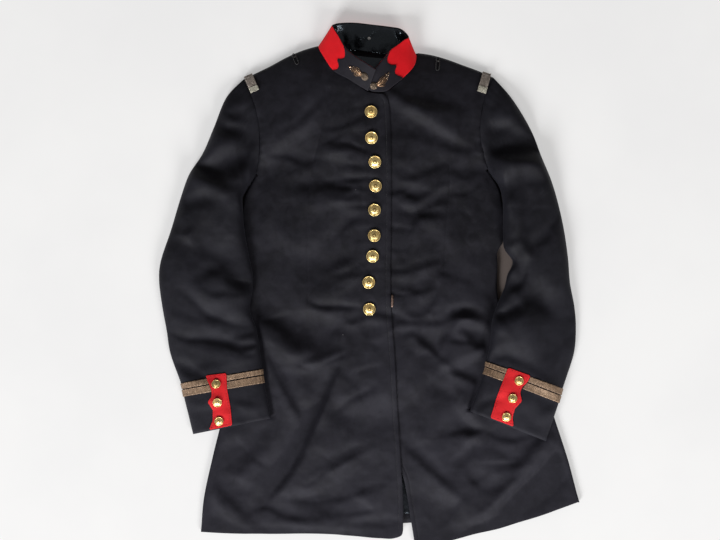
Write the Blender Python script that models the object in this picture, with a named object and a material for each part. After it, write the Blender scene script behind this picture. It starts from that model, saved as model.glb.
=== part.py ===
"""A military officer's dress tunic, laid flat on its back with its front up.

Right and left are the wearer's. +X points to the wearer's left, +Y to the collar and +Z up from the
surface it lies on. Every table is in millimetres of the tunic as it lies, and MM turns them into metres.

The back is one flat wall. Each front runs from its front edge over the top, round the side fold and a
little way in on the surface, to its side seam. Each sleeve is a flat tube of a top and an under sleeve
between the armhole and the cuff, and its lower half lies on the skirt. The collar is a tilted ring.
"""

import math

import bpy
import numpy as np
from mathutils import Vector
from mathutils.bvhtree import BVHTree
from mathutils.geometry import delaunay_2d_cdt

MM = 0.001
CENTRE_X, CENTRE_Y = -0.7, 2.7  # middle of the whole tunic in the tables' own plan

# Thicknesses and clearances
WALL = 2.0  # outer cloth with its lining
GAP = 0.3  # between neighbours
COLLAR_WALL = 2.4
TRIM = 1.0  # tabs, patches, galon and thin linings
TRIM_GAP, PATCH_GAP = 0.5, 0.75  # trim over curved cloth
OVERLAP_RISE = 3.4  # the right front lies this far above the left front
SEAM_INSET = 28.0  # side seam, in from the side fold
SLEEVE_SEAM_INSET = 16.0
ARMHOLE_GAP = 0.9
BACK_ARMHOLE_GAP = 1.3
SLEEVE_SEAM_GAP = 0.9

# Mesh spacing
CLOTH_STEP = 25.0
BOUNDARY_STEP = 20.0
PATCH_STEP = 10.0
SLEEVE_ROWS = 24
SLEEVE_COLUMNS, UNDER_COLUMNS = 13, 7
UNDER_TURN = (1.0, 0.5, 0.25)  # across values of the strip turned under each folded edge
ROLL_COLUMNS = 5  # round a front's side fold
BACK_STEP, BACK_HEM_STEP, LINING_STEP, HOOK_STEP = 90.0, 30.0, 60.0, 6.0
TAB_STEP, TAB_EDGE_STEP, TAB_ROWS, TAB_COLUMNS, BADGE_STEP = 8.0, 3.5, 5, 9, 5.0
SHOULDER_INSETS = (1.2, 5.0)  # extra rows of points beside the shoulder
STRAP_ROWS, LOOP_SIDES, STUD_SIDES = 9, 5, 10

# Buttons, diameter then number of sides
FRONT_BUTTON = (22.0, 12)
CUFF_BUTTON = (15.5, 8)


class Table:
    """Rows of numbers read by column name."""

    def __init__(self, names, rows):
        self.rows = np.array(rows, float)
        for k, name in enumerate(names.split()):
            setattr(self, name, self.rows[:, k])


# Sections of the body from hem to shoulder: side folds, height at the centre, thickness at the side
BODY = Table(
    "y right left crown edge",
    [
        (-445, 284.5, 381.0, 8.0, 7.0),
        (-412, 281.5, 370.0, 8.5, 7.5),
        (-365, 277.9, 354.4, 10.5, 8.0),
        (-296, 264.0, 336.2, 13.5, 8.5),
        (-234, 249.0, 316.5, 17.0, 9.0),
        (-178, 235.0, 298.0, 20.0, 9.5),
        (-127, 223.0, 272.0, 22.5, 10.0),
        (-85, 216.0, 249.5, 25.0, 10.0),
        (-51, 212.0, 229.4, 27.0, 10.0),
        (-20, 209.0, 219.5, 29.0, 10.0),
        (32, 205.0, 219.0, 31.5, 10.0),
        (58, 208.0, 220.0, 33.5, 10.0),
        (74, 211.0, 229.0, 34.5, 10.5),
        (107, 214.5, 231.0, 36.0, 11.0),
        (132, 214.5, 229.5, 36.8, 11.0),
        (142, 213.0, 226.6, 37.2, 11.0),
        (150, 211.9, 225.6, 37.5, 11.0),
        (160, 207.2, 223.7, 38.0, 11.5),
        (170, 201.3, 219.3, 38.5, 11.5),
        (180, 195.1, 212.9, 39.0, 12.0),
        (186, 192.5, 208.7, 39.3, 12.5),
        (194, 193.0, 204.0, 39.5, 13.0),
        (225, 210.0, 216.0, 40.5, 18.0),
        (300, 232.0, 232.0, 42.5, 20.0),
        (420, 242.0, 242.0, 43.0, 20.0),
    ],
)
FOLD_STEP, FOLD_FOOT = 14.0, 0.9  # mesh points along a fold, and its feet in widths
CROWN_POWER = 1.1
ROLL_START = math.radians(10)  # slope at which the top turns into the side fold

# Shoulder line, from the right shoulder point across the neck to the left one
SHOULDER = Table(
    "x y",
    [
        (-213.5, 352.0),
        (-195.6, 361.0),
        (-168.3, 374.5),
        (-141.0, 389.5),
        (-113.7, 401.5),
        (-86.2, 409.6),
        (84.7, 397.4),
        (105.3, 394.4),
        (132.6, 387.0),
        (159.9, 377.0),
        (187.2, 366.8),
        (212.8, 355.5),
    ],
)
SHOULDER_FALL = 90.0  # the chest's height runs out over this distance
SHOULDER_ROLL = 5.0
SHOULDER_END_GAP = 2.4  # the fronts stop this far from the shoulder point
SHOULDER_SEAM = 4.6  # height of the cloth's outer face where it meets the back

NECK_RIGHT = [(27, 319.5), (12, 321.0), (-0.9, 323.6), (-18, 335), (-34.7, 346.5)]
NECK_RIGHT += [(-58.5, 361.2), (-73.5, 383), (-81, 397)]
NECK_LEFT = [(-14, 323), (5.8, 324.6), (29, 324.4), (41.5, 332.6), (57.7, 347.7), (74.9, 366.7), (81, 382)]
NECK_BACK = [(-54, 406), (-28, 401.4), (-0.7, 398), (33.5, 394.8), (60.9, 395)]
NECK_POINT_RIGHT, NECK_POINT_LEFT = (-86.2, 409.6), (84.7, 397.4)

EDGE_RIGHT = [(27, 319.5), (32.5, 309.5), (34.8, 298.2), (36.2, 278.6), (37.8, 225.4), (37.7, 90.6)]
EDGE_RIGHT += [(37.7, -43.8), (42.7, -110.9), (49.4, -228.4), (54.4, -307.1), (57.7, -362.3), (57.7, -412.4)]
EDGE_LEFT = [(-14, 323), (-24, 300), (-25, 90), (-25, -44), (-12, -130), (18, -230), (42, -290), (59.5, -329)]
EDGE_LEFT += [(64, -352), (71.2, -396), (77.8, -437.5)]
HEM_RIGHT = [(57.7, -412.4), (55.5, -420), (42.6, -425.8), (20.8, -425.8), (-24.5, -422.1), (-64.8, -419.1)]
HEM_RIGHT += [(-168.8, -418.6), (-240, -417.8), (-277.6, -415.5)]
HEM_LEFT = [(77.8, -437.5), (83.5, -441.4), (103, -437.4), (141.6, -429.1), (178.5, -419.1), (218.8, -410.1)]
HEM_LEFT += [(254.1, -399.1), (290.6, -387.9), (321.7, -376.7), (350.2, -366.0)]
HEM_BACK = [(190, -392), (66, -401), (-120, -409), (-225.0, -411.5)]

# Armholes: armpit, shoulder point and how far the seam bows in towards the chest
ARMHOLES = {
    "right": {"pit": (-192.0, 186.0), "point": (-213.5, 352.0), "bow": (16.7, 0.0)},
    "left": {"pit": (204.0, 194.0), "point": (212.8, 355.5), "bow": (-18.4, 0.0)},
}
BOW_POWER = 1.0
PIT_DROP = 1.2  # the fronts' side fold starts this far below the armpit

# Folds pressed into the cloth as it lies: ridges up, troughs down
FOLDS = Table(
    "x1 y1 x2 y2 height width",
    [
        (-55, -150, -84, -222, 4.0, 8),
        (-84, -222, -155, -350, 5.0, 11),
        (-117, -336, -13, -282, 3.5, 9),
        (-166, -128, -120, -217, 3.0, 10),
        (-119, -143, -40, -116, 3.5, 9),
        (-97, -35, -20, -41, -3.0, 8),
        (-160, 232, -107, 296, 3.0, 11),
        (-119, 253, -77, 312, 3.0, 10),
        (-70, 222, -32, 222, 2.5, 8),
        (-75, 172, -32, 170, -2.5, 8),
        (-70, 140, -34, 142, 2.5, 8),
        (62, 305, 165, 238, 3.5, 15),
        (62, 144, 80, 130, 3.0, 9),
        (80, 130, 129, 165, 3.0, 9),
        (52, 22, 115, 37, 3.5, 9),
        (52, -14, 78, -16, 2.5, 7),
        (103, -60, 147, -54, 4.5, 9),
        (147, -54, 181, -60, 4.5, 9),
        (142, -64, 126, -130, -3.5, 9),
        (150, -80, 178, -102, 4.5, 9),
        (132, -149, 170, -160, 3.0, 8),
        (76, -286, 160, -362, 3.5, 12),
        (265, -300, 205, -366, 3.5, 13),
        (160, -262, 196, -258, 2.5, 9),
    ],
)
SLEEVE_FOLDS = Table(
    "x1 y1 x2 y2 height width",
    [
        (-291, 204, -226, 160, -5.0, 12),
        (-282, 32, -212, 0, -4.0, 12),
        (-312, -91, -206, -104, -3.0, 11),
        (-244, 268, -212, 262, -3.0, 11),
        (-318, 150, -300, 60, 2.5, 13),
        (206, 236, 290, 211, -4.5, 12),
        (262, 184, 262, 80, -3.0, 11),
        (246, 40, 276, 56, 4.0, 11),
        (240, -8, 272, -44, 4.0, 11),
        (300, 20, 320, -60, 2.5, 14),
    ],
)

# Sleeves from armhole to cuff: both edges, height of the middle and radius of the folded edges
SLEEVES = {
    "right": Table(
        "inner_x inner_y outer_x outer_y crown fold bow",
        [
            (-192.0, 186.0, -213.5, 352.0, 30, 5.0, 16.7),
            (-206.8, 162.0, -243.2, 319.3, 31, 5.0, 7.0),
            (-213.4, 146.1, -263.4, 269.4, 33, 5.0, 2.0),
            (-212.4, 123.6, -282.0, 224.9, 33, 5.0, 0.0),
            (-210.8, 99.4, -305.7, 187.3, 32, 5.0, 0.0),
            (-207.4, 75.3, -320.7, 144.5, 31, 5.0, 0.0),
            (-201.4, 44.7, -335.6, 93.2, 30, 5.0, 0.0),
            (-195.3, 12.5, -352.2, 42.1, 30, 5.0, 0.0),
            (-196.0, -12.9, -355.3, 8.1, 30, 5.0, 0.0),
            (-200.0, -43.4, -349.9, -34.4, 29, 5.0, 0.0),
            (-189.8, -73.7, -342.0, -76.7, 27, 4.8, 0.0),
            (-182.9, -110.8, -334.9, -117.3, 26, 4.5, 0.0),
            (-178.7, -143.6, -316.8, -167.3, 24, 4.3, 0.0),
            (-175.9, -165.1, -312.1, -188.1, 23, 4.2, 0.0),
            (-164.0, -225.0, -295.7, -252.0, 20, 4.0, 0.0),
        ],
    ),
    "left": Table(
        "inner_x inner_y outer_x outer_y crown fold bow",
        [
            (204.0, 194.0, 212.8, 355.5, 30, 5.0, 18.4),
            (222.6, 165.0, 246.7, 315.8, 31, 5.0, 8.0),
            (227.4, 139.2, 277.1, 264.2, 33, 5.0, 2.0),
            (227.6, 111.7, 295.6, 216.3, 33, 5.0, 0.0),
            (227.6, 86.0, 310.8, 178.7, 32, 5.0, 0.0),
            (229.7, 60.5, 322.4, 139.3, 31, 5.0, 0.0),
            (243.8, 38.5, 332.2, 93.2, 30, 5.0, 0.0),
            (234.7, 16.4, 338.6, 45.5, 31, 5.0, 0.0),
            (229.4, -5.7, 341.7, 3.0, 31, 5.0, 0.0),
            (217.0, -34.8, 348.9, -37.8, 29, 5.0, 0.0),
            (208.2, -61.9, 351.1, -76.7, 27, 4.8, 0.0),
            (204.6, -99.1, 346.6, -119.0, 25, 4.5, 0.0),
            (197.8, -131.0, 327.0, -176.4, 23, 4.3, 0.0),
            (193.5, -150.5, 320.2, -198.6, 22, 4.2, 0.0),
            (170.3, -213.3, 297.8, -263.5, 19, 4.0, 0.0),
        ],
    ),
}
EDGE_SHAPE, TOP_SHAPE = 1.3, 0.9  # how square a sleeve's section is, across and up
BODY_MATCH_ROWS = 1.5  # the sleeve head leaves the body's height over this many rows
LIFT_CLEAR = 1.7  # the sleeve's underside lies this far over the cloth of the body
LIFT_SHOULDER, LIFT_REACH = 3.0, 62.0  # it stays up this far beside the body, then comes down to the table
LIFT_FULL_Y, LIFT_NONE_Y = 132.0, 171.0  # and only the stretch below the armpit lies on the body

# Rows of the sleeve tables at which the two galons lie, upper and lower edge
GALONS = Table("start end", [(12.0, 12.47), (12.55, 13.02)])
GALON_WRAP = 0.2  # how far round the folded edge they go

# Red cuff patches: the outline in plan, straight on the inner side and brace-shaped on the outer side
CUFF_PATCHES = {
    "right": [(-273.0, -154.2), (-238.4, -150.0), (-237.6, -174.8), (-231.1, -208.1)]
    + [(-228.4, -236.8), (-266.4, -244.2), (-260.2, -229.0), (-260.3, -211.0)]
    + [(-268.8, -198.1), (-261.8, -188.8), (-262.5, -177.8)],
    "left": [(233.8, -141.1), (270.5, -154.3), (265.6, -163.9), (255.9, -173.6)]
    + [(253.0, -183.1), (255.7, -196.4), (243.8, -209.4), (240.4, -223.1)]
    + [(242.0, -238.7), (203.9, -224.3), (214.8, -188.8)],
}
GALON_GAP = 0.8  # between the end of a stripe and the patch
CUFF_HALF_WIDTH = 80.0  # turns that gap into a share across the sleeve
PATCH_ROW_REACH, ROW_APART, COLUMN_APART = 0.06, 0.08, 0.02  # least distances in rows and in shares across

FRONT_BUTTONS = Table(
    "x y",
    [
        (4.1, 289.6),
        (4.9, 245.6),
        (10.6, 204.8),
        (11.3, 164.3),
        (9.9, 123.8),
        (9.4, 80.5),
        (6.7, 46.2),
        (0.0, 2.3),
        (1.0, -42.5),
    ],
)
CUFF_BUTTONS = {
    "right": [(-255.0, -168.4), (-253.0, -198.9), (-250.0, -230.2)],
    "left": [(251.7, -163.0), (240.7, -192.3), (230.2, -223.2)],
}

# Collar ring from the right front end, round the back of the neck, to the left front end
COLLAR = Table(
    "bottom_x bottom_y top_x top_y top_z",
    [
        (-0.8, 325.0, 12.1, 358.4, 64.5),
        (-17.8, 335.3, -4.4, 369.7, 63.5),
        (-34.2, 346.2, -21.3, 381.1, 59.5),
        (-58.5, 361.2, -39.4, 398.2, 52.0),
        (-73.5, 383.5, -50.0, 418.3, 42.0),
        (-84.5, 407.0, -60.3, 437.3, 31.0),
        (-74.4, 413.0, -58.7, 442.1, 25.0),
        (-53.9, 406.5, -46.9, 446.0, 20.0),
        (-28.2, 401.4, -23.0, 447.0, 17.0),
        (-0.7, 397.9, 6.0, 444.0, 16.0),
        (33.5, 394.5, 36.8, 440.0, 17.0),
        (60.9, 396.0, 55.5, 435.1, 21.0),
        (78.5, 394.0, 67.3, 420.2, 30.0),
        (80.4, 383.3, 60.2, 414.0, 35.0),
        (74.8, 367.5, 48.2, 403.6, 40.5),
        (57.7, 348.5, 35.3, 392.8, 47.0),
        (41.0, 334.0, 24.3, 378.2, 51.5),
        (28.0, 325.0, 14.5, 367.0, 53.5),
        (8.0, 324.6, 5.0, 360.5, 54.5),
        (-4.0, 330.5, -6.5, 361.0, 53.5),
    ],
)
COLLAR_STEP, COLLAR_RISE = 1 / 3, 3
LINING_SPAN = (8 / 3, 47 / 3)  # rows between which the collar's inside shows
LINING_RISE = (0.04, 0.97)  # shares of its height
COLLAR_REACH, COLLAR_STATIONS = 5.0, 60  # rows back from an end in which the tabs and badges lie
COLLAR_SEAT = 1.6  # its middle stands this far over the cloth it is sewn to

# Dark tabs on the collar's ends: their brace-shaped rear edge, by height up the band and distance back
TAB_EDGE = Table(
    "up back",
    [
        (0.05, 64.0),
        (0.12, 60.5),
        (0.28, 60.0),
        (0.42, 66.5),
        (0.48, 69.5),
        (0.53, 58.5),
        (0.66, 59.5),
        (0.95, 64.0),
    ],
)
TAB_INSET, TAB_GAP = 2.0, 0.45
BAND_HEIGHT = 42.0
BADGE_BALL = 6.0
BADGE_THICK, BADGE_GAP = 1.1, 0.3
BADGE_FLAME = [(11.0, 4.6), (16.0, 6.2), (22.0, 6.6), (20.5, 3.8), (29.0, 4.6), (27.0, 1.6), (34.0, 0.0)]
# Distance back, height on the band, turn in degrees
BADGES = {"right": (13.5, 20.0, 0.0), "left": (13.8, 10.7, 17.0)}

# Radius and height of a button and of the stud, in shares of the radius
BUTTON_PROFILE = [(0.0, 0.0), (0.2, 0.0), (0.2, 0.13), (1.0, 0.18)]
BUTTON_PROFILE += [(1.0, 0.29), (0.86, 0.31), (0.5, 0.52), (0.0, 0.62)]
STUD_PROFILE = [(0.0, 0.0), (0.45, 0.0), (0.45, 0.15), (1.0, 0.25), (0.85, 0.6), (0.0, 0.75)]

# The stud: its place along and up the collar, and its width
STUD_STATION, STUD_UP, STUD_DIAMETER = 8.95, 0.52, 6.0

# Shoulder strap loops: lower and upper end of the middle line
STRAPS = {"right": [(-192.9, 328.9), (-204.6, 356.0)], "left": [(191.9, 327.2), (201.6, 359.6)]}
STRAP_WIDTH = 14.0
STRAP_ARCH = 1.5
STRAP_CLEAR = 1.1

# Cord loops beside the collar: upper and lower end
LOOPS = {"right": [(-127.5, 393.0), (-121.7, 377.5)], "left": [(118.9, 386.5), (117.4, 367.5)]}
LOOP_WIDTH, LOOP_CORD = 5.5, 0.9

# The waist hook: its middle and its size
HOOK = {"x": 39.7, "y": -28.7, "length": 19.0, "width": 3.2, "thick": 1.4}

# Feet of the small things over what they lie on
FRONT_BUTTON_SEAT, CUFF_BUTTON_SEAT = 8.0, 6.0  # radius over which a button takes its slope
FRONT_BUTTON_LIFT = GAP + 0.15
CUFF_BUTTON_LIFT = PATCH_GAP + TRIM + GAP + 0.1
HOOK_LIFT = 0.5
STUD_LIFT = GAP + 0.1
LOOP_LIFT = 0.8
STRAP_TURN = [(2.4, 1.2), (3.0, 2.6)]  # over the shoulder's edge: out and down

# Linings that show: in the slit of the skirt and inside the neck
LININGS = {
    "back_lining": [(34, -386), (98, -383), (98, -300), (34, -300)],
    "neck_lining": [(-62, 398.5), (-28, 394), (0, 390.5), (33, 387.5), (62, 386), (58, 340), (-58, 340)],
}

# Corners of the back at an armpit and at the ends of its hem
PIT_NOTCH, PIT_BACK_DROP, HEM_CUT = 4.5, 0.5, 0.25


# ---------------------------------------------------------------- shapes in plan and height


def smooth(xs, ys, x):
    """A smooth curve through the points (xs, ys), read at x and level beyond its ends."""
    xs, ys = np.asarray(xs, float), np.asarray(ys, float)
    steps = np.diff(xs)
    slopes = np.diff(ys) / steps
    inner = (slopes[:-1] * steps[1:] + slopes[1:] * steps[:-1]) / (steps[:-1] + steps[1:])
    tangents = np.concatenate([slopes[:1], inner, slopes[-1:]])
    x = np.clip(x, xs[0], xs[-1])
    k = np.clip(np.searchsorted(xs, x, side="right") - 1, 0, len(steps) - 1)
    t = (x - xs[k]) / steps[k]
    start = (1 + 2 * t) * (1 - t) ** 2 * ys[k] + t * (1 - t) ** 2 * steps[k] * tangents[k]
    return start + t * t * (3 - 2 * t) * ys[k + 1] + t * t * (t - 1) * steps[k] * tangents[k + 1]


def ease(t):
    """0 below 0 and 1 above 1, with a soft start and end."""
    t = np.clip(t, 0.0, 1.0)
    return t * t * (3 - 2 * t)


def path(points, step):
    """The smooth curve through the points, with a point about every step."""
    points = np.array(points, float)
    along = np.concatenate([[0.0], np.cumsum(np.hypot(*np.diff(points, axis=0).T))])
    at = np.linspace(0.0, along[-1], max(2, round(along[-1] / step) + 1))
    return np.stack([smooth(along, points[:, 0], at), smooth(along, points[:, 1], at)], axis=1)


def divided(outline, step):
    """A closed outline with straight sides, with a point about every step."""
    points = []
    for start, end in zip(np.array(outline, float), np.roll(outline, -1, axis=0)):
        count = max(1, round(np.hypot(*(end - start)) / step))
        points += [start + (end - start) * k / count for k in range(count)]
    return np.array(points)


def pressed(x, y, folds):
    """Height that the folds add at a plan point."""
    total = np.zeros(np.broadcast(x, y).shape)
    for x1, y1, x2, y2, height, width in folds.rows:
        length = math.hypot(x2 - x1, y2 - y1)
        ux, uy = (x2 - x1) / length, (y2 - y1) / length
        along = ((x - x1) * ux + (y - y1) * uy) / length
        off = ((x - x1) * uy - (y - y1) * ux) / width
        total = total + height * np.exp(-(off**2) - 1.2 * (2 * along - 1) ** 4)
    return total


def side_at(x, y):
    """Plan distance of the side fold from the centre line, on the side of x."""
    return np.where(x < 0, smooth(BODY.y, BODY.right, y), smooth(BODY.y, BODY.left, y))


def roll_at(y):
    """Radius of the side fold."""
    return smooth(BODY.y, BODY.edge, y) / 2


def top_reach(x, y):
    """Plan distance at which the top turns into the side fold."""
    return side_at(x, y) - roll_at(y) * (1 - math.sin(ROLL_START))


def body_smooth(x, y):
    """Height of the body's outer face without its folds."""
    edge = roll_at(y) * (1 + math.cos(ROLL_START))
    share = np.clip(np.abs(x) / top_reach(x, y), 0.0, 1.0)
    chest = edge + (smooth(BODY.y, BODY.crown, y) - edge) * (1 - share**2) ** CROWN_POWER
    inside = np.clip((smooth(SHOULDER.x, SHOULDER.y, x) - y) * 0.92, 0.0, None)
    roll = SHOULDER_ROLL * np.sqrt(1 - (1 - np.clip(inside / SHOULDER_ROLL, 0.0, 1.0)) ** 2)
    rise = 1 - (1 - np.clip(inside / SHOULDER_FALL, 0.0, 1.0)) ** 2
    shoulder = SHOULDER_SEAM + roll + (chest - SHOULDER_SEAM - SHOULDER_ROLL) * rise
    return np.where(y > SHOULDER.y[0] - SHOULDER_FALL, shoulder, chest)


def body_top(x, y):
    """Height of the left front's outer face, and of the right front's away from the overlap."""
    near_shoulder = ease((smooth(SHOULDER.x, SHOULDER.y, x) - y) / 12.0)
    return body_smooth(x, y) + pressed(x, y, FOLDS) * near_shoulder


def right_top(x, y):
    """Height of the right front's outer face: it rises where the left front lies under it."""
    return body_top(x, y) + OVERLAP_RISE * ease((x + 62.0) / 28.0)


def sleeve_lift(x, y):
    """Height of the surface that a sleeve lies on: the table, or the body and its skirt."""
    beside = np.clip(np.abs(x) - side_at(x, y) - LIFT_SHOULDER, 0.0, None)
    down = 1 - ease(beside / LIFT_REACH)
    return (body_top(x, y) + LIFT_CLEAR) * down * (1 - ease((y - LIFT_FULL_Y) / (LIFT_NONE_Y - LIFT_FULL_Y)))


def armhole(side, share):
    """Plan points of an armhole seam, from the armpit (0) to the shoulder point (1)."""
    seam = ARMHOLES[side]
    pit, point, bow = (np.array(seam[key]) for key in ("pit", "point", "bow"))
    share = np.asarray(share, float)[:, None]
    return pit + (point - pit) * share + bow * (4 * share * (1 - share)) ** BOW_POWER


def sleeve_point(side, across, row):
    """A point on the sleeve's outer face. Across runs from the inner edge (0) over the top to the outer
    edge (1), and on under each edge to the seam at -1 or 2. Row counts the rows of the sleeve's table."""
    table = SLEEVES[side]
    index = np.arange(len(table.crown))
    across, row = np.broadcast_arrays(np.asarray(across, float), np.asarray(row, float))
    inner = np.stack([smooth(index, table.inner_x, row), smooth(index, table.inner_y, row)], -1)
    outer = np.stack([smooth(index, table.outer_x, row), smooth(index, table.outer_y, row)], -1)
    crown, fold = smooth(index, table.crown, row), smooth(index, table.fold, row)
    width = np.hypot(*np.moveaxis(outer - inner, -1, 0))
    turn = np.clip(across, 0.0, 1.0) * math.pi
    half = np.cos(turn)
    over = width * (1 - np.sign(half) * np.abs(half) ** (1 / EDGE_SHAPE)) / 2
    under = np.clip(np.where(across < 0, -across, across - 1), 0.0, 1.0)
    quarter = np.clip(under * 2, 0.0, 1.0) * math.pi / 2
    inset = fold * (1 - np.cos(quarter)) + (SLEEVE_SEAM_INSET - fold) * np.clip(2 * under - 1, 0.0, 1.0)
    place = np.where(across < 0, inset, np.where(across > 1, width - inset, over))
    return sleeve_surface(side, place, row, inner, outer, width, crown, fold, np.sin(turn), np.sin(quarter))


def sleeve_surface(side, place, row, inner, outer, width, crown, fold, rise, sink):
    """The plan point at a distance across the sleeve, with its height over what the sleeve lies on."""
    table = SLEEVES[side]
    share = np.clip(place / width, 0.0, 1.0)
    bow = smooth(np.arange(len(table.crown)), table.bow, row) * (4 * share * (1 - share)) ** BOW_POWER
    x = inner[..., 0] + (outer - inner)[..., 0] * share + np.where(side == "right", bow, -bow)
    y = inner[..., 1] + (outer - inner)[..., 1] * share
    match = 1 - ease(row / BODY_MATCH_ROWS)
    top = crown * (1 - match) + body_top(x, y) * match
    folded = pressed(x, y, SLEEVE_FOLDS) * ease(rise * 1.6) * (1 - match)
    power = TOP_SHAPE * (1 - match) + 0.25 * match
    up = fold + (top - fold) * np.abs(rise) ** power + folded
    height = np.where(rise > 1e-6, up, fold * (1 - sink))
    return np.stack([x, y, height + sleeve_lift(x, y)], -1)


def sleeve_under_point(side, share, row):
    """A point on the underside of the under sleeve, from its inner seam (0) to its outer seam (1)."""
    table = SLEEVES[side]
    index = np.arange(len(table.crown))
    share, row = np.broadcast_arrays(np.asarray(share, float), np.asarray(row, float))
    inner = np.stack([smooth(index, table.inner_x, row), smooth(index, table.inner_y, row)], -1)
    outer = np.stack([smooth(index, table.outer_x, row), smooth(index, table.outer_y, row)], -1)
    width = np.hypot(*np.moveaxis(outer - inner, -1, 0))
    start = SLEEVE_SEAM_INSET + SLEEVE_SEAM_GAP * (1 + 2.0 * np.clip(1 - row / 1.8, 0.0, 1.0))
    place = start + (width - 2 * start) * share
    flat = np.zeros(place.shape)
    return sleeve_surface(side, place, row, inner, outer, width, flat, flat, flat, flat + 1)


def across_of(share):
    """The across value over the top at a share of the sleeve's width."""
    half = 1 - 2 * share
    return math.acos(math.copysign(abs(half) ** EDGE_SHAPE, half)) / math.pi


def sleeve_place(side, x, y):
    """Across and row of the sleeve's top at a plan point of its lower, unbowed part."""
    table = SLEEVES[side]
    index = np.arange(len(table.crown))
    low, high = 3.0, float(index[-1])
    for _ in range(40):
        row = (low + high) / 2
        ax, ay = smooth(index, table.inner_x, row), smooth(index, table.inner_y, row)
        bx, by = smooth(index, table.outer_x, row), smooth(index, table.outer_y, row)
        turned = (bx - ax) * (y - ay) - (by - ay) * (x - ax)
        past = turned > 0 if side == "right" else turned < 0
        low, high = (row, high) if past else (low, row)
    share = ((x - ax) * (bx - ax) + (y - ay) * (by - ay)) / ((bx - ax) ** 2 + (by - ay) ** 2)
    return across_of(share), row


def collar_point(station, up):
    """A point on the middle of the collar's wall, by row of its table and share of its height."""
    index = np.arange(len(COLLAR.top_x))
    bx, by = smooth(index, COLLAR.bottom_x, station), smooth(index, COLLAR.bottom_y, station)
    tx, ty, tz = (smooth(index, column, station) for column in (COLLAR.top_x, COLLAR.top_y, COLLAR.top_z))
    at_front = 1 - ease((station - 4.6) / 1.2)
    at_left = ease((station - 11.2) / 1.2)
    seat = right_top(bx, by) * at_front + body_top(bx, by) * at_left + WALL * (1 - at_front - at_left)
    bz = seat + COLLAR_SEAT
    return np.stack([bx + (tx - bx) * up, by + (ty - by) * up, bz + (tz - bz) * up], -1)


# ---------------------------------------------------------------- meshes

PALETTE = {
    "cloth": ((0.014, 0.014, 0.017), 0.9, 0.0),
    "collar_red": ((0.55, 0.015, 0.02), 0.9, 0.0),
    "lining": ((0.006, 0.006, 0.007), 0.3, 0.0),
    "galon": ((0.20, 0.15, 0.09), 0.5, 0.6),
    "gilt": ((0.72, 0.48, 0.16), 0.28, 1.0),
    "bullion": ((0.45, 0.33, 0.13), 0.45, 0.8),
    "cord": ((0.01, 0.01, 0.012), 0.8, 0.0),
    "bronze": ((0.40, 0.26, 0.16), 0.4, 1.0),
    "white": ((0.85, 0.85, 0.82), 0.4, 0.0),
}


def add_object(name, points, faces, finish):
    """A mesh object of its own, from points in millimetres of the tunic's plan."""
    mesh = bpy.data.meshes.new(name)
    shifted = (np.asarray(points) - (CENTRE_X, CENTRE_Y, 0.0)) * MM
    mesh.from_pydata(shifted.tolist(), [], [tuple(int(k) for k in face) for face in faces])
    mesh.shade_smooth()
    mesh.set_sharp_from_angle(angle=math.radians(40))
    colour, roughness, metallic = PALETTE[finish]
    material = bpy.data.materials.new(name)
    material.use_nodes = True
    shader = material.node_tree.nodes["Principled BSDF"]
    shader.inputs["Base Color"].default_value = (*colour, 1.0)
    shader.inputs["Roughness"].default_value = roughness
    shader.inputs["Metallic"].default_value = metallic
    mesh.materials.append(material)
    obj = bpy.data.objects.new(name, mesh)
    bpy.context.scene.collection.objects.link(obj)
    return obj


def grid_faces(rows, columns, flip=False):
    """Two triangles for each cell of a grid of points."""
    faces = []
    for r in range(rows - 1):
        for c in range(columns - 1):
            a, b = r * columns + c, r * columns + c + 1
            d, e = a + columns, b + columns
            faces += [(a, d, b), (b, d, e)] if flip else [(a, b, d), (b, e, d)]
    return faces


def vertex_normals(points, faces):
    """Unit normals, averaged from the faces round each point."""
    corners = points[faces]
    across = np.cross(corners[:, 1] - corners[:, 0], corners[:, 2] - corners[:, 0])
    normals = np.zeros(points.shape)
    for k in range(3):
        np.add.at(normals, faces[:, k], across)
    return normals / np.linalg.norm(normals, axis=1)[:, None]


def add_wall(name, points, faces, finish, outer=0.0, inner=-WALL):
    """A closed wall along a surface: its two faces lie at outer and inner, along the surface's normals."""
    points, faces = np.asarray(points, float).reshape(-1, 3), np.asarray(faces, int)
    _, first, index = np.unique(np.round(points, 4), axis=0, return_index=True, return_inverse=True)
    points, faces = points[first], index.reshape(-1)[faces]
    normals = vertex_normals(points, faces)
    count = len(points)
    edges = {}
    for face in faces:
        for k in range(3):
            edge = (face[k], face[(k + 1) % 3])
            edges[edge] = edges.get(edge, 0) + 1
    rim = [(a, b) for a, b in edges if (b, a) not in edges]
    solid = [tuple(face) for face in faces] + [tuple(face[::-1] + count) for face in faces]
    for a, b in rim:
        solid += [(b, a, a + count), (b, a + count, b + count)]
    both = np.concatenate([points + normals * outer, points + normals * inner])
    return add_object(name, both, solid, finish)


def inside(outline, x, y):
    """Whether the points lie inside a closed outline."""
    hit = np.zeros(x.shape, bool)
    for (x1, y1), (x2, y2) in zip(outline, np.roll(outline, -1, axis=0)):
        if y1 != y2:
            crossing = x1 + (y - y1) * (x2 - x1) / (y2 - y1)
            hit ^= ((y1 > y) != (y2 > y)) & (x < crossing)
    return hit


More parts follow.
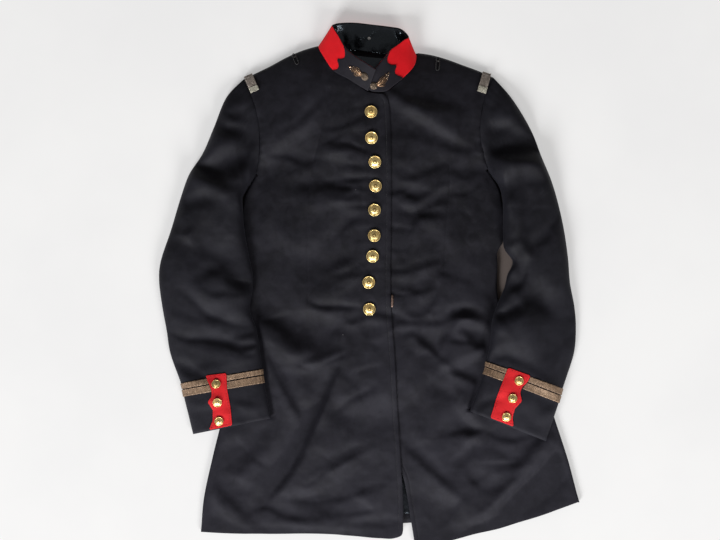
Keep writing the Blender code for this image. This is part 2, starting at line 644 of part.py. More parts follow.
def cloth_points(outline, step, extra):
    """Plan points inside an outline: the extra ones, then an even net wherever there is room."""
    x1, y1 = outline.min(axis=0)
    x2, y2 = outline.max(axis=0)
    net = []
    for row, y in enumerate(np.arange(y1, y2, step * 0.87)):
        net += [(x, y) for x in np.arange(x1 + step * 0.5 * (row % 2), x2, step)]
    kept = [tuple(p) for p in outline]
    for share, group in ((0.30, extra), (0.62, net)):
        group = np.array(group, float).reshape(-1, 2)
        group = group[inside(outline, group[:, 0], group[:, 1])]
        for p in group:
            near = np.array(kept)
            if (np.hypot(near[:, 0] - p[0], near[:, 1] - p[1]) > share * step).all():
                kept.append(tuple(p))
    return kept


def plan_mesh(outline, step, extra=()):
    """Points and triangles, seen from above, that fill an outline in plan."""
    outline = np.array(outline, float)
    points = cloth_points(outline, step, list(extra))
    ring = list(range(len(outline)))
    made = delaunay_2d_cdt([Vector(p) for p in points], [], [ring], 1, 1e-5)
    flat = np.array([points[sources[0]] if sources else tuple(p) for p, sources in zip(made[0], made[3])])
    faces = np.array([tuple(face) for face in made[2]], int)
    a, b, c = flat[faces[:, 0]], flat[faces[:, 1]], flat[faces[:, 2]]
    turned = (b - a)[:, 0] * (c - a)[:, 1] - (b - a)[:, 1] * (c - a)[:, 0] < 0
    faces[turned] = faces[turned][:, ::-1]
    return flat, faces


def fold_points(folds):
    """Plan points along the crest and both feet of each fold."""
    points = []
    for x1, y1, x2, y2, _, width in folds.rows:
        length = math.hypot(x2 - x1, y2 - y1)
        nx, ny = (y2 - y1) / length, -(x2 - x1) / length
        for along in np.linspace(0.0, 1.0, max(2, round(length / FOLD_STEP) + 1)):
            for off in (0.0, -FOLD_FOOT * width, FOLD_FOOT * width):
                points.append((x1 + (x2 - x1) * along + nx * off, y1 + (y2 - y1) * along + ny * off))
    return points


# ---------------------------------------------------------------- the pieces


SKINS = {}  # the cloth that trims and buttons lie on, by name


def skin_height(name, x, y):
    """Height of a laid cloth at a plan point, or of the nearest point on it beyond its edge."""
    hit = SKINS[name].ray_cast((x, y, 200.0), (0, 0, -1))[0]
    return hit.z if hit else SKINS[name].find_nearest((x, y, 10.0))[0].z


def side_line(sign, top, bottom):
    """Plan points where the top turns into the side fold, from the armpit down to the hem."""
    y = np.linspace(top, bottom, round((top - bottom) / BOUNDARY_STEP) + 1)
    return np.stack([sign * top_reach(np.full(y.shape, float(sign)), y), y], axis=1)


def shoulder_line(side, inset=0.0):
    """Plan points of a shoulder, from the neck to the shoulder point."""
    neck, point = (NECK_POINT_RIGHT, -1) if side == "right" else (NECK_POINT_LEFT, 1)
    ends = (neck[0], ARMHOLES[side]["point"][0] - point * SHOULDER_END_GAP)
    x = np.linspace(*ends, round(abs(ends[1] - ends[0]) / BOUNDARY_STEP) + 1)
    return np.stack([x, smooth(SHOULDER.x, SHOULDER.y, x) - inset], axis=1)


def armhole_line(side, gap):
    """Plan points of an armhole, from the shoulder point down to the armpit, a gap inside its seam."""
    half = np.cos(np.linspace(math.pi, 0.0, SLEEVE_COLUMNS))
    points = armhole(side, (1 - np.sign(half) * np.abs(half) ** (1 / EDGE_SHAPE)) / 2)
    ahead = np.gradient(points, axis=0)
    ahead /= np.linalg.norm(ahead, axis=1)[:, None]
    inward = np.column_stack([-ahead[:, 1], ahead[:, 0]]) * (1 if side == "right" else -1)
    at_ends = 1 + 1.4 * np.abs(half[:, None]) ** 8
    return (points + inward * gap * at_ends)[1:-1]


def make_front(side):
    """One front with its skirt, from the front edge round the side fold to the side seam."""
    right = side == "right"
    sign = -1 if right else 1
    pit = ARMHOLES[side]["pit"][1] - PIT_DROP
    neck, edge, hem = (NECK_RIGHT, EDGE_RIGHT, HEM_RIGHT) if right else (NECK_LEFT, EDGE_LEFT, HEM_LEFT)
    neck_point = NECK_POINT_RIGHT if right else NECK_POINT_LEFT
    side_points = side_line(sign, pit, hem[-1][1])
    outline = [path(neck + [neck_point], BOUNDARY_STEP)[:-1], shoulder_line(side)]
    outline += [armhole_line(side, ARMHOLE_GAP), side_points]
    outline += [path(hem[:-1] + [tuple(side_points[-1])], BOUNDARY_STEP)[::-1][1:-1]]
    outline += [path(edge, BOUNDARY_STEP)[::-1][:-1]]
    extra = fold_points(FOLDS)
    for inset in SHOULDER_INSETS:
        extra += [tuple(p) for p in shoulder_line(side, inset)[1:-1]]
    flat, faces = plan_mesh(np.concatenate(outline), CLOTH_STEP, extra)
    height = right_top if right else body_top
    top = np.column_stack([flat, height(flat[:, 0], flat[:, 1])])

    turns = np.linspace(ROLL_START, math.pi, ROLL_COLUMNS)
    strip = []
    for x, y in side_points:
        radius, fold = roll_at(y), abs(x) - roll_at(y) * math.sin(ROLL_START)
        row = [(sign * (fold + radius * math.sin(a)), y, radius * (1 + math.cos(a))) for a in turns]
        row[0] = (x, y, float(height(np.array(x), np.array(y))))
        row.append((sign * (fold - SEAM_INSET + radius), y, 0.0))
        strip.append(row)
    strip = np.array(strip)
    strip_faces = np.array(grid_faces(len(strip), strip.shape[1], flip=not right)) + len(top)
    SKINS[f"front_{side}"] = BVHTree.FromPolygons(top.tolist(), faces.tolist())
    points = np.concatenate([top, strip.reshape(-1, 3)])
    add_wall(f"front_{side}", points, np.concatenate([faces, strip_faces]), "cloth")


def make_back():
    """The back: one flat wall between the side seams, up to the shoulders and the neck."""
    outline = [path([NECK_POINT_RIGHT] + NECK_BACK + [NECK_POINT_LEFT], BOUNDARY_STEP)[:-1]]
    outline += [shoulder_line("left"), armhole_line("left", BACK_ARMHOLE_GAP)]
    for side, sign in (("left", 1), ("right", -1)):
        pit = ARMHOLES[side]["pit"][1]
        front_hem = (HEM_LEFT if side == "left" else HEM_RIGHT)[-1][1]
        y = side_line(sign, pit - PIT_DROP, front_hem)[:, 1]
        x = sign * (side_at(np.full(y.shape, float(sign)), y) - SEAM_INSET - GAP)
        seam = np.stack([x, y], axis=1)
        seam[-1] = seam[-1] + (seam[-2] - seam[-1]) * HEM_CUT
        seam = np.concatenate([[(seam[0][0], pit - PIT_BACK_DROP)], seam])
        corner = np.array([[sign * (abs(ARMHOLES[side]["pit"][0]) - PIT_NOTCH), pit - PIT_BACK_DROP]])
        piece = np.concatenate([corner, seam])
        outline += [piece] if side == "left" else [piece[::-1]]
        if side == "left":
            outline += [path([tuple(seam[-1])] + HEM_BACK, BACK_HEM_STEP)[1:]]
    outline += [armhole_line("right", BACK_ARMHOLE_GAP)[::-1], shoulder_line("right")[::-1][:-1]]
    flat, faces = plan_mesh(np.concatenate(outline), BACK_STEP)
    top = np.column_stack([flat, np.full(len(flat), WALL)])
    add_wall("back", top, faces, "cloth")


def sleeve_rows():
    """Row values from the armhole to the cuff."""
    return np.linspace(0.0, len(SLEEVES["right"].crown) - 1.0, SLEEVE_ROWS)


def sleeve_columns():
    """Across values: under the inner edge, over the top and under the outer edge."""
    over = np.linspace(0.0, 1.0, SLEEVE_COLUMNS)
    return np.array([-u for u in UNDER_TURN] + list(over) + [1 + u for u in UNDER_TURN[::-1]])


def make_sleeve(side):
    """Top sleeve, and the under sleeve between its seams."""
    rows, columns = sleeve_rows(), sleeve_columns()
    top = sleeve_point(side, columns[None, :], rows[:, None])
    faces = grid_faces(len(rows), len(columns), flip=side == "left")
    SKINS[f"sleeve_{side}"] = BVHTree.FromPolygons(top.reshape(-1, 3).tolist(), faces)
    add_wall(f"sleeve_{side}_top", top, faces, "cloth")
    shares = np.linspace(0.0, 1.0, UNDER_COLUMNS)
    under = sleeve_under_point(side, shares[None, :], rows[:, None])
    faces = grid_faces(len(rows), len(shares), flip=side == "right")
    add_wall(f"sleeve_{side}_under", under, faces, "cloth")


def patch_reach(side, rows):
    """Across values at which each row of a sleeve meets the cuff patch, on its inner and its outer side."""
    outline = divided(CUFF_PATCHES[side], 1.0)
    places = np.array([sleeve_place(side, x, y) for x, y in outline])
    reach = []
    for row in rows:
        near = places[np.abs(places[:, 1] - row) < PATCH_ROW_REACH, 0]
        reach.append((near.min(), near.max()) if len(near) else reach[-1])
    return np.array(reach)


def make_galons(side):
    """Two stripes of galon on either side of the cuff patch, from the patch round each folded edge."""
    columns = sleeve_columns()
    gap = GALON_GAP / CUFF_HALF_WIDTH
    for stripe, (first, last) in enumerate(GALONS.rows, 1):
        rows = [first] + [r for r in sleeve_rows() if first + ROW_APART < r < last - ROW_APART] + [last]
        ends = patch_reach(side, rows)
        before, after = ends[:, 0].min() - COLUMN_APART, ends[:, 1].max() + COLUMN_APART
        groups = {
            "inner": ([-GALON_WRAP] + [c for c in columns if 0 <= c < before], ends[:, 0] - gap),
            "outer": ([1 + GALON_WRAP] + [c for c in columns[::-1] if after < c <= 1], ends[:, 1] + gap),
        }
        for part, (shared, end) in groups.items():
            across = np.array([shared + [e] for e in end])
            points = sleeve_point(side, across, np.array(rows)[:, None])
            faces = grid_faces(len(rows), across.shape[1], flip=(side == "left") == (part == "inner"))
            name = f"galon_{side}_{part}_{stripe}"
            add_wall(name, points, faces, "galon", outer=TRIM_GAP + TRIM, inner=TRIM_GAP)


def make_cuff_patch(side):
    """The red slash patch on a sleeve."""
    under = sleeve_point(side, sleeve_columns()[None, :], sleeve_rows()[:, None]).reshape(-1, 3)
    flat, faces = plan_mesh(divided(CUFF_PATCHES[side], PATCH_STEP), PATCH_STEP, under[:, :2])
    points = [(x, y, skin_height(f"sleeve_{side}", x, y)) for x, y in flat]
    add_wall(f"cuff_patch_{side}", points, faces, "collar_red", outer=PATCH_GAP + TRIM, inner=PATCH_GAP)


def collar_surface(first, last, low, high):
    """Points and faces of a stretch of the collar, between two rows of its table and two shares of height."""
    stations = np.linspace(first, last, round((last - first) / COLLAR_STEP) + 1)
    ups = np.linspace(low, high, COLLAR_RISE + 1)
    return collar_point(stations[None, :], ups[:, None]), grid_faces(len(ups), len(stations), flip=True)


def make_collar():
    """The standing collar's band, and the lining of the stretch whose inside shows."""
    points, faces = collar_surface(0.0, len(COLLAR.top_x) - 1.0, 0.0, 1.0)
    add_wall("collar", points, faces, "collar_red", outer=COLLAR_WALL / 2, inner=-COLLAR_WALL / 2)
    points, faces = collar_surface(*LINING_SPAN, *LINING_RISE)
    near = -COLLAR_WALL / 2 - TAB_GAP
    add_wall("collar_lining", points, faces, "lining", outer=near, inner=near - TRIM)


def band_station(side, back, up):
    """Station of a point that lies some way back from a collar end, measured along the band."""
    last = len(COLLAR.top_x) - 1
    stations = np.linspace(0.0, COLLAR_REACH, COLLAR_STATIONS)
    if side == "left":
        stations = last - stations
    points = collar_point(stations, up)
    along = np.concatenate([[0.0], np.cumsum(np.linalg.norm(np.diff(points, axis=0), axis=1))])
    return float(np.interp(back, along, stations))


def band_points(side, flat):
    """Points on the collar's middle surface from distances back from its end and shares of its height."""
    return np.array([collar_point(band_station(side, back, up), up) for back, up in flat])


def band_mesh(side, outline, step):
    """A mesh on the collar that fills an outline of distance back and height, in millimetres."""
    flat, faces = plan_mesh(outline, step)
    points = band_points(side, flat / (1.0, BAND_HEIGHT))
    return points, faces if side == "left" else faces[:, ::-1]


def make_collar_tab(side):
    """The dark tab on a collar end, with the red edge left showing round it."""
    rear = path(np.column_stack([TAB_EDGE.back, TAB_EDGE.up * BAND_HEIGHT]), TAB_EDGE_STEP)
    low, high = rear[0][1], rear[-1][1]
    front = [(TAB_INSET, y) for y in np.linspace(high, low, TAB_ROWS)]
    top = [(x, high) for x in np.linspace(rear[-1][0], TAB_INSET, TAB_COLUMNS)[1:-1]]
    bottom = [(x, low) for x in np.linspace(TAB_INSET, rear[0][0], TAB_COLUMNS)[1:-1]]
    points, faces = band_mesh(side, np.concatenate([rear, top, front, bottom]), TAB_STEP)
    near = COLLAR_WALL / 2 + TAB_GAP
    add_wall(f"collar_tab_{side}", points, faces, "cloth", outer=near + TRIM, inner=near)


def badge_outline():
    """A ball with a forked flame behind it, as distance back from the ball's middle and height over it."""
    ball = [(BADGE_BALL * math.cos(a), BADGE_BALL * math.sin(a)) for a in np.radians(np.arange(45, 316, 30))]
    return np.array(ball + [(x, -y) for x, y in BADGE_FLAME[:-1]] + BADGE_FLAME[::-1])


def make_badge(side):
    """The flaming ball embroidered on a tab, in low relief."""
    back, up, turn = BADGES[side]
    cos, sin = math.cos(math.radians(turn)), math.sin(math.radians(turn))
    outline = badge_outline() @ np.array([[cos, sin], [-sin, cos]])
    points, faces = band_mesh(side, outline + (back, up), BADGE_STEP)
    near = COLLAR_WALL / 2 + TAB_GAP + TRIM + BADGE_GAP
    add_wall(f"collar_badge_{side}", points, faces, "bullion", outer=near + BADGE_THICK, inner=near)


def rest_on(name, x, y, reach):
    """Foot and upward axis of a round thing that rests on a laid cloth."""
    ring = [(x + reach * math.cos(a), y + reach * math.sin(a)) for a in np.radians(np.arange(0, 360, 45))]
    heights = np.array([skin_height(name, *p) for p in ring])
    slope = sum(h * (np.array(p) - (x, y)) for h, p in zip(heights, ring)) / (4 * reach**2)
    axis = Vector((-slope[0], -slope[1], 1.0)).normalized()
    return Vector((x, y, skin_height(name, x, y))), axis


def add_turned(name, profile, scale, sides, foot, axis, finish):
    """A turned solid: a profile of radius and height, standing on its foot along an axis."""
    turn = Vector((0, 0, 1)).rotation_difference(axis)
    points, faces, rings = [], [], []
    for radius, height in np.array(profile) * scale:
        if radius == 0.0:
            rings.append([len(points)])
            points.append((0.0, 0.0, height))
            continue
        rings.append(list(range(len(points), len(points) + sides)))
        for angle in 2 * math.pi * np.arange(sides) / sides:
            points.append((radius * math.cos(angle), radius * math.sin(angle), height))
    for low, high in zip(rings, rings[1:]):
        for k in range(sides):
            a, b = low[k % len(low)], low[(k + 1) % len(low)]
            c, d = high[k % len(high)], high[(k + 1) % len(high)]
            if a != b:
                faces.append((a, b, d))
            if c != d:
                faces.append((a, d, c))
    placed = [tuple(turn @ Vector(p) + Vector(foot)) for p in points]
    return add_object(name, placed, faces, finish)


def make_buttons():
    for number, (x, y) in enumerate(FRONT_BUTTONS.rows, 1):
        foot, axis = rest_on("front_right", x, y, FRONT_BUTTON_SEAT)
        foot += axis * FRONT_BUTTON_LIFT
        diameter, sides = FRONT_BUTTON
        add_turned(f"front_button_{number}", BUTTON_PROFILE, diameter / 2, sides, foot, axis, "gilt")
    for side, places in CUFF_BUTTONS.items():
        for number, (x, y) in enumerate(places, 1):
            foot, axis = rest_on(f"sleeve_{side}", x, y, CUFF_BUTTON_SEAT)
            foot += axis * CUFF_BUTTON_LIFT
            diameter, sides = CUFF_BUTTON
            name = f"cuff_button_{side}_{number}"
            add_turned(name, BUTTON_PROFILE, diameter / 2, sides, foot, axis, "gilt")


def make_strap(side):
    """The lace loop across a shoulder's end: sewn down at its lower end, and over the shoulder's edge."""
    start, end = (np.array(p) for p in STRAPS[side])
    along = (end - start) / np.linalg.norm(end - start)
    beside = np.array([along[1], -along[0]]) * STRAP_WIDTH / 2
    rows = []
    for share in np.linspace(0.0, 1.0, STRAP_ROWS):
        middle = start + (end - start) * share
        arch = STRAP_ARCH * math.sin(math.pi * share)
        row = [middle + beside * s for s in (-1.0, 0.0, 1.0)]
        rows.append([(p[0], p[1], skin_height(f"front_{side}", *p) + arch) for p in row])
    last = rows[-1]
    for out, low in STRAP_TURN:
        rows.append([(p[0] + along[0] * out, p[1] + along[1] * out, p[2] - low) for p in last])
    faces = grid_faces(len(rows), 3)
    add_wall(f"shoulder_strap_{side}", rows, faces, "galon", outer=STRAP_CLEAR + TRIM, inner=STRAP_CLEAR)


def make_loop(side):
    """A small closed loop of round cord that lies on the shoulder."""
    start, end = (np.array(p) for p in LOOPS[side])
    along = (end - start) / np.linalg.norm(end - start)
    beside = np.array([-along[1], along[0]])
    ring = []
    for centre, first in ((end, -90), (start, 90)):
        for angle in np.radians(np.arange(first, first + 181, 45)):
            ring.append(centre + (along * math.cos(angle) + beside * math.sin(angle)) * LOOP_WIDTH / 2)
    ring = np.array(ring)
    height = np.array([skin_height(f"front_{side}", x, y) for x, y in ring]) + LOOP_CORD + LOOP_LIFT
    points, faces, sides = [], [], LOOP_SIDES
    for k, (x, y) in enumerate(ring):
        ahead = ring[(k + 1) % len(ring)] - ring[k - 1]
        out = np.array([ahead[1], -ahead[0]]) / np.linalg.norm(ahead)
        for s in range(sides):
            angle = 2 * math.pi * s / sides
            reach, lift = LOOP_CORD * math.cos(angle), LOOP_CORD * math.sin(angle)
            points.append((x + out[0] * reach, y + out[1] * reach, height[k] + lift))
    for k in range(len(ring)):
        for s in range(sides):
            a, b = k * sides + s, k * sides + (s + 1) % sides
            c, d = (a + sides) % len(points), (b + sides) % len(points)
            faces += [(a, c, b), (b, c, d)]
    add_object(f"shoulder_loop_{side}", points, faces, "cord")


def make_hook():
    """The waist hook: a narrow metal plate with rounded ends, against the front edge on the left front."""
    half, straight = HOOK["width"] / 2, HOOK["length"] / 2 - HOOK["width"] / 2
    outline = []
    for end, first in ((1, 0), (-1, 180)):
        for angle in np.radians(np.arange(first, first + 181, 45)):
            across, up = half * math.cos(angle), half * math.sin(angle)
            outline.append((HOOK["x"] + across, HOOK["y"] + end * straight + up))
    flat, faces = plan_mesh(np.array(outline), HOOK_STEP)
    points = [(x, y, skin_height("front_left", x, y)) for x, y in flat]
    add_wall("waist_hook", points, faces, "bronze", outer=HOOK_LIFT + HOOK["thick"], inner=HOOK_LIFT)


def make_stud():
    """The white stud on the lining at the back of the collar."""
    middle = Vector(collar_point(STUD_STATION, STUD_UP))
    along = Vector(collar_point(STUD_STATION + 0.1, STUD_UP)) - middle
    up = Vector(collar_point(STUD_STATION, STUD_UP + 0.1)) - middle
    axis = along.cross(up).normalized()
    axis = axis if axis.z > 0 else -axis
    foot = middle + axis * (COLLAR_WALL / 2 + TAB_GAP + TRIM + STUD_LIFT)
    add_turned("collar_stud", STUD_PROFILE, STUD_DIAMETER / 2, STUD_SIDES, foot, axis, "white")


def make_linings():
    """The lining on the back's inner face, where the slit of the skirt and the neck show it."""
    for name, outline in LININGS.items():
        flat, faces = plan_mesh(np.array(outline, float), LINING_STEP)
        top = np.column_stack([flat, np.full(len(flat), WALL)])
        add_wall(name, top, faces, "lining", outer=GAP + TRIM, inner=GAP)


def make_tunic():
    for obj in list(bpy.data.objects):
        bpy.data.objects.remove(obj, do_unlink=True)
    make_back()
    make_linings()
    make_collar()
    make_stud()
    for side in ("right", "left"):
        make_front(side)
        make_sleeve(side)
    make_buttons()
    make_hook()
    for side in ("right", "left"):
        make_galons(side)
        make_cuff_patch(side)
        make_collar_tab(side)
        make_badge(side)
        make_strap(side)
        make_loop(side)


make_tunic()
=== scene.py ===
"""The looks of a military officer's dress tunic, laid flat on its back with its front up.

Every table is in millimetres of the tunic as it lies, and MM turns them into metres. Right and left are the
wearer's. +X points to the wearer's left, +Y to the collar and +Z up from the surface it lies on.
"""

import math

import bpy
import numpy as np
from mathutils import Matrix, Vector, noise
from mathutils.bvhtree import BVHTree
from mathutils.geometry import delaunay_2d_cdt
from mathutils.kdtree import KDTree


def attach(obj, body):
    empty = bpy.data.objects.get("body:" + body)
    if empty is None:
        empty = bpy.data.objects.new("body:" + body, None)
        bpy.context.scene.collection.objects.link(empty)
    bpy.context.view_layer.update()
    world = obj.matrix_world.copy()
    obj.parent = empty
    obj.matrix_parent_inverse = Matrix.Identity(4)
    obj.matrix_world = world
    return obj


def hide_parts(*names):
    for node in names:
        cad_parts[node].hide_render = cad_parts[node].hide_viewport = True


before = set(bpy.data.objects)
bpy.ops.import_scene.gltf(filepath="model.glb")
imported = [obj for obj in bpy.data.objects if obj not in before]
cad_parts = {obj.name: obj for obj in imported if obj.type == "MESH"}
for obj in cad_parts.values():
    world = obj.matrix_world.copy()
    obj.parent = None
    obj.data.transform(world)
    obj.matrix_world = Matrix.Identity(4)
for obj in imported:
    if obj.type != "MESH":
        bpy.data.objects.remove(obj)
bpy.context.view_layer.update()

MM = 0.001
CENTRE_X, CENTRE_Y = -0.7, 2.7  # middle of the whole tunic in the tables' own plan
SIDES = ("right", "left")
SIGN = {"right": -1, "left": 1}  # the X direction of each side

# Thicknesses and clearances
WALL = 2.0  # outer cloth with its lining
GAP = 0.3  # between neighbours
COLLAR_WALL = 2.4
TRIM = 1.0  # tabs, patches, galon and thin linings
OVERLAP_RISE = 3.4  # the right front lies this far above the left front
OVERLAP_START, OVERLAP_BLEND = -62.0, 28.0  # across the plan, where that rise begins and over what distance
SEAM_INSET = 28.0  # side seam, in from the side fold
SLEEVE_SEAM_INSET = 16.0
BACK_ARMHOLE_GAP = 1.3
SLEEVE_SEAM_GAP = 0.9

FRONT_BUTTON, CUFF_BUTTON = 22.0, 15.5  # diameters


class Table:
    """Rows of numbers read by column name."""

    def __init__(self, names, text):
        names = names.split()
        self.rows = np.array(text.replace(",", " ").split(), float).reshape(-1, len(names))
        for name, column in zip(names, self.rows.T):
            setattr(self, name, column)


def plan(text):
    """Plan points from pairs of numbers."""
    return [tuple(pair) for pair in Table("x y", text).rows.tolist()]


# Sections of the body from hem to shoulder: side folds, height at the centre, thickness at the side
BODY = Table(
    "y right left crown edge",
    """
    -445 284.5   381    8    7
    -412 281.5   370  8.5  7.5
    -365 277.9 354.4 10.5    8
    -296   264 336.2 13.5  8.5
    -234   249 316.5   17    9
    -178   235   298   20  9.5
    -127   223   272 22.5   10
     -85   216 249.5   25   10
     -51   212 229.4   27   10
     -20   209 219.5   29   10
      32   205   219 31.5   10
      58   208   220 33.5   10
      74   211   229 34.5 10.5
     107 214.5   231   36   11
     132 214.5 229.5 36.8   11
     142   213 226.6 37.2   11
     150 211.9 225.6 37.5   11
     160 207.2 223.7   38 11.5
     170 201.3 219.3 38.5 11.5
     180 195.1 212.9   39   12
     186 192.5 208.7 39.3 12.5
     194   193   204 39.5   13
     225   210   216 40.5   18
     300   232   232 42.5   20
     420   242   242   43   20
    """,
)
CROWN_POWER = 1.1
ROLL_START = math.radians(10)  # slope at which the top turns into the side fold

# Shoulder line, from the right shoulder point across the neck to the left one
SHOULDER = Table(
    "x y",
    """
    -213.5,352 -195.6,361 -168.3,374.5 -141,389.5 -113.7,401.5 -86.2,409.6 84.7,397.4 105.3,394.4
    132.6,387 159.9,377 187.2,366.8 212.8,355.5
    """,
)
SHOULDER_FALL = 90.0  # the chest's height runs out over this distance
SHOULDER_SLANT = 0.92  # straight distance from the shoulder line for each millimetre down the plan
SHOULDER_ROLL = 5.0
SHOULDER_SEAM = 4.6  # height of the cloth's outer face where it meets the back
SHOULDER_CALM = 12.0  # folds die away this near the shoulder line

NECK = {
    "right": plan("27,319.5 12,321 -0.9,323.6 -18,335 -34.7,346.5 -58.5,361.2 -73.5,383 -81,397"),
    "left": plan("-14,323 5.8,324.6 29,324.4 41.5,332.6 57.7,347.7 74.9,366.7 81,382"),
}
NECK_BACK = plan("-54,406 -28,401.4 -0.7,398 33.5,394.8 60.9,395")
NECK_POINT = {"right": (-86.2, 409.6), "left": (84.7, 397.4)}

EDGE = {
    "right": plan(
        """
        27,319.5 32.5,309.5 34.8,298.2 36.2,278.6 37.8,225.4 37.7,90.6 37.7,-43.8 42.7,-110.9
        49.4,-228.4 54.4,-307.1 57.7,-362.3 57.7,-412.4
        """
    ),
    "left": plan(
        """
        -14,323 -24,300 -25,90 -25,-44 -12,-130 18,-230 42,-290 59.5,-329 64,-352 71.2,-396 77.8,-437.5
        """
    ),
}
HEM = {
    "right": plan(
        """
        57.7,-412.4 55.5,-420 42.6,-425.8 20.8,-425.8 -24.5,-422.1 -64.8,-419.1 -168.8,-418.6
        -240,-417.8 -277.6,-415.5
        """
    ),
    "left": plan(
        """
        77.8,-437.5 83.5,-441.4 103,-437.4 141.6,-429.1 178.5,-419.1 218.8,-410.1 254.1,-399.1
        290.6,-387.9 321.7,-376.7 350.2,-366
        """
    ),
}
HEM_BACK = plan("190,-392 66,-401 -120,-409 -225,-411.5")

# Armholes: armpit, shoulder point and how far the seam bows in towards the chest
ARMHOLES = {
    "right": {"pit": (-192.0, 186.0), "point": (-213.5, 352.0), "bow": (16.7, 0.0)},
    "left": {"pit": (204.0, 194.0), "point": (212.8, 355.5), "bow": (-18.4, 0.0)},
}

# Folds pressed into the cloth as it lies: ridges up, troughs down
FOLDS = Table(
    "x1 y1 x2 y2 height width",
    """
     -55 -150  -84 -222    4  8
     -84 -222 -155 -350    5 11
    -117 -336  -13 -282  3.5  9
    -166 -128 -120 -217    3 10
    -119 -143  -40 -116  3.5  9
     -97  -35  -20  -41   -3  8
    -160  232 -107  296    3 11
    -119  253  -77  312    3 10
     -70  222  -32  222  2.5  8
     -75  172  -32  170 -2.5  8
     -70  140  -34  142  2.5  8
      62  305  165  238  3.5 15
      62  144   80  130    3  9
      80  130  129  165    3  9
      52   22  115   37  3.5  9
      52  -14   78  -16  2.5  7
     103  -60  147  -54  4.5  9
     147  -54  181  -60  4.5  9
     142  -64  126 -130 -3.5  9
     150  -80  178 -102  4.5  9
     132 -149  170 -160    3  8
      76 -286  160 -362  3.5 12
     265 -300  205 -366  3.5 13
     160 -262  196 -258  2.5  9
    """,
)
SLEEVE_FOLDS = Table(
    "x1 y1 x2 y2 height width",
    """
    -291 204 -226  160   -5 12
    -282  32 -212    0   -4 12
    -312 -91 -206 -104   -3 11
    -244 268 -212  262   -3 11
    -318 150 -300   60  2.5 13
     206 236  290  211 -4.5 12
     262 184  262   80   -3 11
     246  40  276   56    4 11
     240  -8  272  -44    4 11
     300  20  320  -60  2.5 14
    """,
)

# Sleeves from armhole to cuff: both edges, height of the middle and radius of the folded edges
SLEEVE_COLUMNS = "inner_x inner_y outer_x outer_y crown fold bow"
SLEEVES = {
    "right": Table(
        SLEEVE_COLUMNS,
        """
          -192    186 -213.5    352 30   5 16.7
        -206.8    162 -243.2  319.3 31   5    7
        -213.4  146.1 -263.4  269.4 33   5    2
        -212.4  123.6   -282  224.9 33   5    0
        -210.8   99.4 -305.7  187.3 32   5    0
        -207.4   75.3 -320.7  144.5 31   5    0
        -201.4   44.7 -335.6   93.2 30   5    0
        -195.3   12.5 -352.2   42.1 30   5    0
          -196  -12.9 -355.3    8.1 30   5    0
          -200  -43.4 -349.9  -34.4 29   5    0
        -189.8  -73.7   -342  -76.7 27 4.8    0
        -182.9 -110.8 -334.9 -117.3 26 4.5    0
        -178.7 -143.6 -316.8 -167.3 24 4.3    0
        -175.9 -165.1 -312.1 -188.1 23 4.2    0
          -164   -225 -295.7   -252 20   4    0
        """,
    ),
    "left": Table(
        SLEEVE_COLUMNS,
        """
          204    194 212.8  355.5 30   5 18.4
        222.6    165 246.7  315.8 31   5    8
        227.4  139.2 277.1  264.2 33   5    2
        227.6  111.7 295.6  216.3 33   5    0
        227.6     86 310.8  178.7 32   5    0
        229.7   60.5 322.4  139.3 31   5    0
        243.8   38.5 332.2   93.2 30   5    0
        234.7   16.4 338.6   45.5 31   5    0
        229.4   -5.7 341.7      3 31   5    0
          217  -34.8 348.9  -37.8 29   5    0
        208.2  -61.9 351.1  -76.7 27 4.8    0
        204.6  -99.1 346.6   -119 25 4.5    0
        197.8   -131   327 -176.4 23 4.3    0
        193.5 -150.5 320.2 -198.6 22 4.2    0
        170.3 -213.3 297.8 -263.5 19   4    0
        """,
    ),
}
EDGE_SHAPE, TOP_SHAPE = 1.3, 0.9  # how square a sleeve's section is, across and up
HEAD_SHAPE = 0.25  # the same, up, at the armhole
BODY_MATCH_ROWS = 1.5  # the sleeve head has the body's height at the armhole and leaves it over these rows
UNBOWED_ROW = 3.0  # a sleeve's rows are straight lines from here on
LIFT_CLEAR = 1.7  # the sleeve's underside lies this far over the cloth of the body
LIFT_SHOULDER, LIFT_REACH = 3.0, 62.0  # it stays up this far beside the body, then comes down to the table
LIFT_FULL_Y, LIFT_NONE_Y = 132.0, 171.0  # and only the stretch below the armpit lies on the body

# Rows of the sleeve tables at which the two galons lie, upper and lower edge
GALONS = [(12.0, 12.47), (12.55, 13.02)]
GALON_WRAP = 0.2  # how far round the folded edge they go

# Red cuff patches: the outline in plan, straight on the inner side and brace-shaped on the outer side
CUFF_PATCHES = {
    "right": plan(
        """
        -273,-154.2 -238.4,-150 -237.6,-174.8 -231.1,-208.1 -228.4,-236.8 -266.4,-244.2 -260.2,-229
        -260.3,-211 -268.8,-198.1 -261.8,-188.8 -262.5,-177.8
        """
    ),
    "left": plan(
        """
        233.8,-141.1 270.5,-154.3 265.6,-163.9 255.9,-173.6 253,-183.1 255.7,-196.4 243.8,-209.4
        240.4,-223.1 242,-238.7 203.9,-224.3 214.8,-188.8
        """
    ),
}

FRONT_BUTTONS = plan("4.1,289.6 4.9,245.6 10.6,204.8 11.3,164.3 9.9,123.8 9.4,80.5 6.7,46.2 0,2.3 1,-42.5")
CUFF_BUTTONS = {
    "right": plan("-255,-168.4 -253,-198.9 -250,-230.2"),
    "left": plan("251.7,-163 240.7,-192.3 230.2,-223.2"),
}

